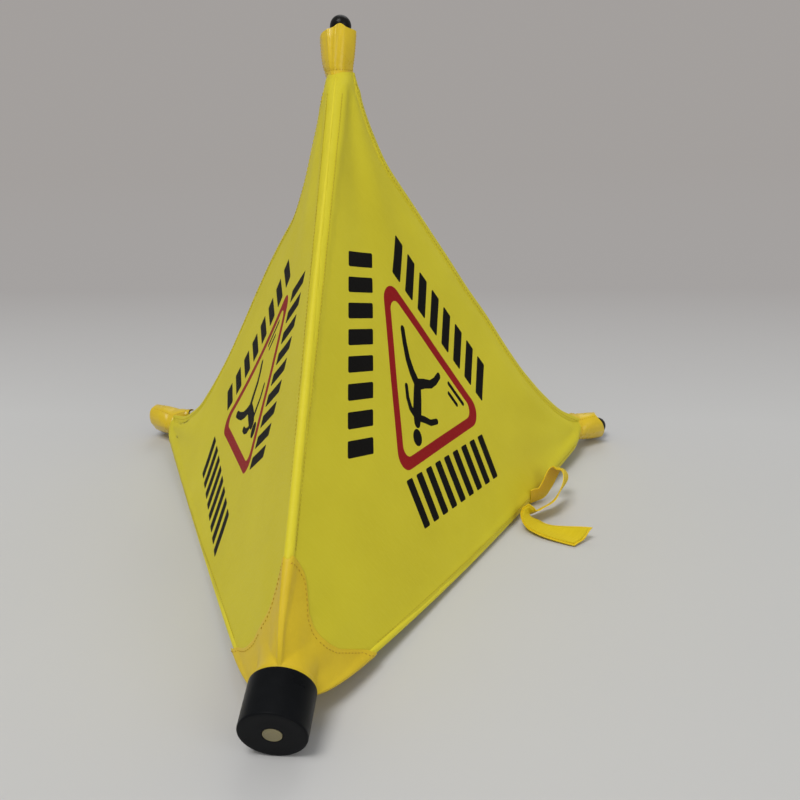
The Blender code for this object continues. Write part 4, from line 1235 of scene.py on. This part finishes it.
# section against share of the way from SLEEVE_START to SLEEVE_END
HALF_WIDTH = ([-0.5, -0.1, 0, 0.25, 0.55, 0.8, 1.0, 1.3],
              [13.2, 14.0, 14.5, 15.2, 16.4, 17.3, 17.8, 17.6])
HALF_HEIGHT = ([-0.1, 0, 0.25, 0.55, 0.8, 1.0, 1.3],
               [19.4, 18.3, 17.2, 16.5, 15.6, 14.2, 12.6])
SLEEVE_OFF = ([0, 0.25, 0.55, 0.8, 1.0, 1.3], [12.3, 10.7, 8.0, 5.8, 3.9, 2.2])
GATHER_RADIUS = 5.9
VINYL_THICK = 0.75
SLEEVE_SIDES = 112
SLEEVE_ANGLES = 2 * math.pi * np.arange(SLEEVE_SIDES) / SLEEVE_SIDES
SLEEVE_ROWS = np.linspace(0, 1, 30)
COS, SIN = np.cos(SLEEVE_ANGLES), np.sin(SLEEVE_ANGLES)


def rest_on_floor(points, gap):
    """Presses cone-frame points flat where they would sink under the floor."""
    scene = to_scene(points)
    z = scene[..., 2] * 1000
    pressed = gap + 4 * np.exp(np.minimum(z - 4 - gap, 0) / 4)
    scene[..., 2] = np.where(z < 4 + gap, pressed, z) * 0.001
    return to_cone(scene)


def sleeve_ends(leg):
    """Reach along the leg of the sleeve's inner end and mouth, at each angle round it."""
    shape = SLEEVES[leg]
    upper, upper_more, lower, lower_more = shape["mouth"]
    middle = np.abs(SIN) ** 1.2
    end = np.where(SIN >= 0, upper + upper_more * middle, lower + lower_more * middle)
    if leg == 0:
        bulge = np.where(SIN > 0, 4.0 * np.exp(-((COS * 17 + 4.0) / 4.5) ** 2), 0)
        end = end - 2.3 * COS * np.abs(COS) + bulge
    elif leg == 1:
        end = end + 7.0 * COS
    else:
        end = end - np.where(COS > 0, 14.0, 9.0) * COS
    tail_angle, tail_length = shape["tail"]
    turn = (SLEEVE_ANGLES - tail_angle + math.pi) % (2 * math.pi) - math.pi
    tail = tail_length * np.exp(-(np.abs(turn) / 0.62) ** 3)
    return SLEEVE_START - 3.6 - tail - shape["gathered"], end


def sleeve_ring(leg, row, reach):
    """Outer and inner points of one ring of the sleeve."""
    shape = SLEEVES[leg]
    share = (reach - SLEEVE_START) / (SLEEVE_END - SLEEVE_START)
    width, height = np.interp(share, *HALF_WIDTH), np.interp(share, *HALF_HEIGHT)
    seat_off = np.interp(share, *SLEEVE_OFF)
    grown = smoothstep(share, -0.05, 0.35)
    width = width * (1 + (shape["size"][0] - 1) * grown)
    height = height * (1 + (shape["size"][1] - 1) * grown)
    if shape["gathered"]:
        gather = float(smoothstep(-share.mean(), 0.08, 0.44))
        width = width + (GATHER_RADIUS - width) * gather
        height = height + (GATHER_RADIUS - height) * gather
        seat_off = seat_off * (1 - gather)
    body, lens = np.abs(SIN) ** 0.9, 1 - np.abs(COS) ** 2.3
    off = height * np.sign(SIN) * (shape["body"] * body + (1 - shape["body"]) * lens)
    side = width * COS * (1 + 0.012 * np.cos(SLEEVE_ANGLES * 6 + share * 2))
    for inner, outer, rise, spread in shape["creases"]:
        crease = rise * np.exp(-((side - (inner + (outer - inner) * row)) / spread) ** 2)
        off = off + np.where(SIN > 0, crease, 0) * (0.45 + 0.55 * row)
    off = off + 0.25 * smooth_noise(side / 5, reach / 9, 70 + leg)
    # drawn in under the stitches round the inner end
    pinch = np.exp(-((reach - SLEEVE_START - 0.6) / 1.5) ** 2)
    off = off - pinch * 0.8 * SIN
    side = side * (1 - 0.035 * pinch)
    seat, gain = shape["seat"]
    shift = seat * smoothstep(share, -0.25, 0.15) + gain * np.clip(share, 0, 1.2)
    return (leg_point(leg, reach, side + shift, seat_off + off),
            leg_point(leg, reach, side * (1 - VINYL_THICK / 17.0) + shift,
                      seat_off + off * (1 - VINYL_THICK / 16.0)))


def make_sleeve(leg):
    begin, end = sleeve_ends(leg)
    outer, inner = zip(*(sleeve_ring(leg, row, begin + (end - begin) * row)
                         for row in SLEEVE_ROWS))
    outer, inner = rest_on_floor(np.array(outer), 0.3), rest_on_floor(np.array(inner), 1.0)
    verts, faces = shell(outer, inner, wrap=True)
    uv = grid_uv(SLEEVE_ANGLES * 16.5, SLEEVE_ROWS * 41) * 0.001
    sleeve = add_solid("sleeve_" + LEGS[leg], verts, faces, [VINYL],
                       np.concatenate([uv, uv]), sharp=70)
    hang(sleeve, leg, fold_weight(verts, leg, sleeve=True))
    tag("tip_sleeve_" + LEGS[leg])
    # stitch rows: round the inner end, and down both side seams
    loop = np.concatenate([outer[3], outer[3][:1]])
    lines = [(loop, unit(loop - outer[3].mean(0)))]
    for column in (2, SLEEVE_SIDES // 2 - 2):
        seam = outer[3:-2, column]
        lines.append((seam, unit(seam - outer[3:-2].mean(1))))
    sew("sleeve_stitches", leg, lines, THREAD_AMBER, sleeve=True,
        length=2.2, gap=1.0, radius=0.32, lift=0.1)


# ---- leg tips: black balls with a collar round the rod ---------------------
BALL_RADIUS, COLLAR_RADIUS = 10.8, 6.0
BALL_STEPS = 24
BORE_RADIUS = ROD_RADIUS + 0.3


def make_ball(leg):
    profile = [(0.0, -4.6), (BORE_RADIUS, -4.6), (BORE_RADIUS, -20.0), (5.6, -20.0),
               (COLLAR_RADIUS, -19.4)]
    sweep = math.pi - math.asin(COLLAR_RADIUS / BALL_RADIUS)
    for k in range(BALL_STEPS + 1):
        angle = sweep - sweep * k / BALL_STEPS
        radius, z = BALL_RADIUS * math.sin(angle), BALL_RADIUS * math.cos(angle)
        if abs(z) < 0.45:       # parting line
            radius += 0.12
        profile.append((radius, z))
    verts, faces = lathe(profile, sides=56)
    verts = leg_point(leg, LEG_REACH + verts[:, 2], verts[:, 0], verts[:, 1])
    ball = add_solid("ball_" + LEGS[leg], verts, faces, [TIP_BLACK], sharp=50)
    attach(ball, "leg_" + LEGS[leg])
    tag("ball_tip_" + LEGS[leg])


for leg in range(3):
    make_sleeve(leg)
    make_ball(leg)


# ---- base cap and plug, turned round the z axis ----------------------------
def arc(x, z, radius, start, end, steps):
    """Profile points round (x, z), with angles in degrees."""
    angles = [math.radians(start + (end - start) * k / steps) for k in range(steps + 1)]
    return [(x + radius * math.cos(angle), z + radius * math.sin(angle)) for angle in angles]


# profiles: radius, height
CAP_PROFILE = [
    (CAP_RADIUS - 2.7, CAP_RIM),
    *arc(CAP_RADIUS - 0.9, CAP_RIM + 0.9, 0.9, -90, 0, 5),
    (CAP_RADIUS, CAP_RIM + 2.2), (CAP_RADIUS - 0.04, CAP_END - 8.0),
    (CAP_RADIUS - 0.1, CAP_END - 3.0),
    *arc(CAP_RADIUS - 1.5, CAP_END - 1.4, 1.4, 0, 90, 8),
    (CAP_RADIUS - 4.0, CAP_END + 0.02), (CAP_RADIUS - 5.2, CAP_END - 0.05),
    (14.0, CAP_END - 0.12), (8.7, CAP_END - 0.05),
    *arc(8.3, CAP_END - 0.45, 0.4, 90, 180, 4),
    (7.9, CAP_END - 3.0), (5.1, CAP_END - 3.0), (5.1, CAP_END - 6.5), (2.35, CAP_END - 6.5),
    (2.35, CAP_END - 11.0), (5.1, CAP_END - 11.0), (5.1, CAP_END - 33.0),
    (8.6, CAP_END - 33.0), (8.6, CAP_END - 5.8), (CAP_RADIUS - 2.7, CAP_END - 5.8),
]
PLUG_PROFILE = [
    (0, CAP_END - 2.6), (7.0, CAP_END - 2.6), (7.4, CAP_END - 2.3),
    *arc(6.9, CAP_END - 0.25, 0.5, 0, 90, 5),
    (6.5, CAP_END + 0.22), (6.2, CAP_END + 0.02), (5.9, CAP_END - 0.02),
    (5.6, CAP_END + 0.16), (2.2, CAP_END + 0.24), (1.5, CAP_END + 0.05), (0, CAP_END - 0.02),
]


def make_turned(name, profile, sides, material, sharp, replaced):
    part = add_solid(name, *lathe(profile, sides), [material], sharp=sharp)
    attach(part, "frame")
    tag(replaced)


make_turned("cap_shell", CAP_PROFILE, sides=128, material=CAP_BLACK, sharp=40,
            replaced="base_cap")
make_turned("cap_disc", PLUG_PROFILE, sides=72, material=CREAM, sharp=50,
            replaced="cap_plug")

# ---- tie strap, in scene axes and mm, with y measured from the hub ---------
STRAP_WIDTH, STRAP_THICK = 24.0, 0.9
STRAP_ROWS, STRAP_COLUMNS = 90, 13
# stations from the root to the free end
STRAP_CENTRE = [
    (199.5, -41, 4.5), (206.5, -34, 8), (213, -28.5, 13), (219, -23, 22), (225, -17, 33),
    (231, -16, 38), (237, -23, 34), (234, -37, 26), (224, -53, 16), (208, -66, 11),
    (196, -77, 7), (201, -89, 5), (215, -101, 4), (233, -110, 3.5), (251, -118, 4),
]
# direction across the strap at each station
STRAP_SIDE = [
    (0.50, 0.80, -0.30), (0.52, 0.78, -0.34), (0.54, 0.74, -0.38), (0.54, 0.72, -0.42),
    (0.52, 0.66, -0.50), (0.46, 0.74, -0.42), (0.30, 0.85, -0.36), (0.12, 0.9, -0.42),
    (0.1, 0.9, -0.42), (0.1, 0.9, -0.40), (0.15, 0.93, -0.25), (0.25, 0.95, -0.05),
    (0.32, 0.94, 0.0), (0.40, 0.91, 0.05), (0.42, 0.90, 0.10),
]
# stitch lines at the root: first row, last row, first column, last column
STRAP_SEAMS = [(2, 4, 2, 11), (2, 9, 2, 2), (2, 9, 10, 10), (9, 9, 2, 10), (2, 2, 2, 10)]
HOOK_ROWS, HOOK_COLUMNS = slice(62, 89), slice(1, 12)


def spline(stations, count):
    """Smooth curve through every station."""
    stations = np.array(stations, float)
    last = len(stations) - 1
    out = []
    for k in range(count):
        place = k / (count - 1) * last
        i = min(int(place), last - 1)
        x = place - i
        before, start = stations[max(i - 1, 0)], stations[i]
        end, after = stations[i + 1], stations[min(i + 2, last)]
        out.append(0.5 * (2 * start + (end - before) * x
                          + (2 * before - 5 * start + 4 * end - after) * x * x
                          + (3 * start - before - 3 * end + after) * x ** 3))
    return np.array(out)


def strap_to_scene(points):
    return (points + np.array([0, HUB_BACK, 0])) * 0.001


def strap_surface():
    """Centre line, mid-surface grid and normals of the strap."""
    line = spline(STRAP_CENTRE, STRAP_ROWS)
    side = spline(STRAP_SIDE, STRAP_ROWS)
    tangent = unit(np.gradient(line, axis=0))
    side = unit(without(side, tangent))
    up = np.cross(tangent, side)
    # lifted clear of the floor, with the lift spread along the strap
    lowest = line[:, 2] - np.abs(side[:, 2]) * STRAP_WIDTH / 2 - STRAP_THICK
    lift = np.clip(1.3 - lowest, 0, None)
    for _ in range(6):
        spread = np.convolve(np.pad(lift, 2, mode="edge"), [0.1, 0.2, 0.4, 0.2, 0.1], "valid")
        lift = np.maximum(lift, spread)
    line[:, 2] += lift
    free_end = smoothstep(STRAP_RUN, 0.80, 1.0)[:, None]
    cup = 0.9 * np.cos(STRAP_RUN * 9.0)[:, None] * (STRAP_ACROSS[None] ** 2 - 0.4)
    slant = free_end * (5.5 * STRAP_ACROSS[None])
    curl = free_end * smoothstep(STRAP_ACROSS, 0.0, 1.0)[None] * 9.0
    grid = (line[:, None] + side[:, None] * (STRAP_ACROSS * STRAP_WIDTH / 2)[None, :, None]
            + up[:, None] * cup[..., None] + tangent[:, None] * slant[..., None])
    grid[..., 2] += curl + 0.25 * smooth_noise(
        STRAP_RUN[:, None] * 30 + STRAP_ACROSS[None], STRAP_ACROSS[None] * 3, 91)
    normals = unit(np.cross(np.gradient(grid, axis=0), np.gradient(grid, axis=1)))
    return line, grid, normals


STRAP_RUN = np.linspace(0, 1, STRAP_ROWS)
STRAP_ACROSS = np.linspace(-1, 1, STRAP_COLUMNS)
STRAP_LINE, STRAP_GRID, STRAP_NORMALS = strap_surface()
ROOT_WEIGHT = float(fold_weight(to_cone(strap_to_scene(STRAP_LINE[:1])), 2)[0])


def add_strap_part(name, verts, faces, material, uv=None, sharp=None):
    """The root turns with the right leg's seam, and the rest hangs away from the folded legs."""
    points = strap_to_scene(verts)
    part = add_solid(name, points, faces, [material], uv, in_scene=True, sharp=sharp)
    line = strap_to_scene(STRAP_LINE)
    nearest = np.argmin(((points[:, None] - line[None]) ** 2).sum(-1), 1)
    hang(part, 2, ROOT_WEIGHT - 0.18 * smoothstep(nearest / (STRAP_ROWS - 1.0), 0.0, 0.25))
    return part


def make_ribbon():
    edge = np.where(np.abs(STRAP_ACROSS) > 0.9, 1.25, 1.0)      # thicker selvedges
    offset = STRAP_NORMALS * (STRAP_THICK / 2 * edge[None, :, None])
    verts, faces = shell(STRAP_GRID + offset, STRAP_GRID - offset)
    verts[:, 2] = np.maximum(verts[:, 2], 0.35)
    uv = grid_uv(STRAP_ACROSS * 0.012, STRAP_RUN * 0.21)
    ribbon = add_strap_part("tie_ribbon", verts, faces, WEBBING, np.concatenate([uv, uv]),
                            sharp=60)
    tag("tie_strap")


def make_ribbon_stitches():
    lines = []
    for first_row, last_row, first_column, last_column in STRAP_SEAMS:
        share = np.linspace(0, 1, 12)
        rows = np.round(first_row + (last_row - first_row) * share).astype(int)
        columns = np.round(first_column + (last_column - first_column) * share).astype(int)
        normals = STRAP_NORMALS[rows, columns]
        lines.append((STRAP_GRID[rows, columns] + normals * 0.5, normals))
    for column in (1, STRAP_COLUMNS - 2):
        normals = STRAP_NORMALS[3:-3, column]
        lines.append((STRAP_GRID[3:-3, column] + normals * 0.45, normals))
    verts, faces = stitches(lines, length=2.0, gap=1.0, radius=0.26, lift=0.05)
    verts[:, 2] = np.maximum(verts[:, 2], 0.3)
    add_strap_part("ribbon_stitches", verts, faces, THREAD)


def make_hook_patch():
    """Hook tape on the upper side of the free end."""
    upward = STRAP_NORMALS if STRAP_NORMALS[75, 6][2] > 0 else -STRAP_NORMALS
    grid, normals = STRAP_GRID[HOOK_ROWS, HOOK_COLUMNS], upward[HOOK_ROWS, HOOK_COLUMNS]
    verts, faces = shell(grid + normals * 1.25, grid + normals * 0.35)
    rows, columns = grid.shape[:2]
    uv = grid_uv(np.linspace(-10, 10, columns), np.linspace(0, 55, rows)) * 0.001
    hook = add_strap_part("hook_patch", verts, faces, HOOK, np.concatenate([uv, uv]))
    tag("strap_hook_tape")


make_ribbon()
make_ribbon_stitches()
make_hook_patch()

# ---- torsion springs: the coil winds up as the leg folds -------------------
COIL_RADIUS, COIL_START, COIL_WIDTH = 2.95, 3.45, 3.5   # start and width along the hinge pin
COIL_TURNS = 3.0
WIRE_RADIUS, WIRE_SIDES = 0.42, 10


def make_spring(leg):
    start = math.atan2(LEG_OFF[2], LEG_OFF[0])
    arm = [reach * LEG_ALONG + COIL_RADIUS * LEG_OFF + np.array([0, COIL_START, 0])
           for reach in (7.6, 4.2)]
    share = np.linspace(0, 1, 140)
    angle = start + share * (2 * math.pi * COIL_TURNS + math.pi - start)
    coil = np.stack([COIL_RADIUS * np.cos(angle), COIL_START + COIL_WIDTH * share,
                     COIL_RADIUS * np.sin(angle)], 1)
    tail = [coil[-1] + np.array([-0.25, 0.02, drop]) for drop in (-2.0, -4.6)]
    weights = np.concatenate([[1, 1], 1 - share, [0, 0]])
    verts, faces, uv = tube(np.concatenate([arm, coil, tail]), WIRE_RADIUS, WIRE_SIDES)
    verts = spin(verts + np.array([PIVOT_RADIUS, 0, PIVOT_Z]), 120.0 * leg)
    spring = add_solid("spring_" + LEGS[leg], verts, faces, [SPRING], uv)
    hang(spring, leg, np.repeat(weights, WIRE_SIDES))
    tag("torsion_spring_" + LEGS[leg])


for leg in range(3):
    make_spring(leg)

# ---- finishes on the frame's own parts, by the start of their names --------
FINISHES = [
    ("centre_post", STEEL), ("leg_rod", ROD), ("knuckle", HUB_BLACK), ("hub_body", HUB_BLACK),
    ("hub_cover", HUB_BLACK), ("cover_clamp_ring", HUB_BLACK), ("hub_screw", ZINC),
    ("cap_screw", ZINC), ("hinge_pin", ZINC), ("leg_rivet", ZINC),
    ("torsion_spring", SPRING), ("ball_tip", TIP_BLACK),
]
for name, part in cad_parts.items():
    for start, material in FINISHES:
        if name.startswith(start) and not part.hide_render:
            for slot in part.material_slots:
                slot.material = material

# ---- floor -----------------------------------------------------------------
BACKDROP = (0.368, 0.348, 0.336)
FLOOR_HALF = 30.0


def floor_paper():
    """Matt paper that turns, far off, into the even grey of the sweep behind it."""
    mat = Material("floor_paper")
    vector = mat.coords("Object")
    mottle = mat.noise(vector, scale=1.1, detail=3.0, roughness=0.5)
    place_y = mat.node("ShaderNodeSeparateXYZ", vector).outputs["Y"]
    mat.set({
        "Base Color": mat.mix(mat.remap(mottle, span=(0.3, 0.7)),
                              (0.595, 0.594, 0.590), (0.617, 0.615, 0.611)),
        "Roughness": 0.9,
        "Specular IOR Level": 0.1,
    })
    glow = mat.node("ShaderNodeEmission")
    grey = mat.mix(mat.remap(place_y, span=(0.8, 3.2)), (0.376, 0.361, 0.354), BACKDROP)
    mat.feed(glow.inputs["Color"], grey)
    blend = mat.node("ShaderNodeMixShader")
    mat.feed(blend.inputs[0], mat.remap(place_y, span=(0.36, 1.10)))
    mat.feed(blend.inputs[1], mat.surface.outputs[0])
    mat.feed(blend.inputs[2], glow.outputs[0])
    mat.feed(mat.tree.nodes["Material Output"].inputs["Surface"], blend.outputs[0])
    return mat.material


def make_floor():
    mesh = bpy.data.meshes.new("floor")
    corners = [(x * FLOOR_HALF, y * FLOOR_HALF, 0) for x, y in ((-1, -1), (1, -1), (1, 1), (-1, 1))]
    mesh.from_pydata(corners, [], [(0, 1, 2, 3)])
    mesh.materials.append(floor_paper())
    floor = bpy.data.objects.new("floor", mesh)
    bpy.context.scene.collection.objects.link(floor)


make_floor()


# ---- light and camera ------------------------------------------------------
def add_light(name, place, target, size, power, colour):
    """A round area light aimed at target."""
    light = bpy.data.lights.new(name, "AREA")
    light.shape = "DISK"
    light.size = size
    light.energy = power
    light.color = colour
    holder = bpy.data.objects.new(name, light)
    bpy.context.scene.collection.objects.link(holder)
    holder.location = place
    aim = Vector(target) - Vector(place)
    holder.rotation_euler = aim.to_track_quat("-Z", "Y").to_euler()


def make_world():
    """Soft sky light, with the camera seeing the plain backdrop grey instead."""
    world = bpy.data.worlds.new("studio")
    world.use_nodes = True
    nodes, links = world.node_tree.nodes, world.node_tree.links
    sky = nodes["Background"]
    sky.inputs["Color"].default_value = (0.78, 0.785, 0.79, 1.0)
    sky.inputs["Strength"].default_value = 0.42
    seen = nodes.new("ShaderNodeBackground")
    seen.inputs["Color"].default_value = (*BACKDROP, 1.0)
    path = nodes.new("ShaderNodeLightPath")
    pick = nodes.new("ShaderNodeMixShader")
    links.new(path.outputs["Is Camera Ray"], pick.inputs[0])
    links.new(sky.outputs[0], pick.inputs[1])
    links.new(seen.outputs[0], pick.inputs[2])
    links.new(pick.outputs[0], nodes["World Output"].inputs["Surface"])
    bpy.context.scene.world = world


CAMERA_PLACE = (
    (0.9949900, -0.0084324, 0.0996183, 0.1536666),
    (0.0959760, 0.3595542, -0.9281753, -0.8093465),
    (-0.0279914, 0.9330861, 0.3585622, 0.4793261),
    (0.0000000, 0.0000000, 0.0000000, 1.0000000),
)


def make_camera():
    camera = bpy.data.cameras.new("camera")
    camera.sensor_width = 36.0
    camera.lens = 40.5
    camera.clip_start = 0.01
    holder = bpy.data.objects.new("camera", camera)
    bpy.context.scene.collection.objects.link(holder)
    holder.matrix_world = Matrix(CAMERA_PLACE)
    bpy.context.scene.camera = holder


add_light("key", place=(-1.14, -2.34, 5.4), target=(0.0, 0.0, 0.15), size=2.6, power=168.0,
          colour=(1.0, 0.99, 0.97))
add_light("fill", place=(4.2, -3.6, 2.6), target=(0.0, 0.0, 0.15), size=4.0, power=56.0,
          colour=(0.98, 0.99, 1.0))
add_light("back", place=(0.4, 4.0, 4.5), target=(0.0, 0.0, 0.1), size=4.0, power=46.0,
          colour=(1.0, 1.0, 1.0))
make_world()
bpy.context.scene.view_settings.view_transform = "Standard"
bpy.context.scene.view_settings.look = "None"
make_camera()

bpy.context.view_layer.update()
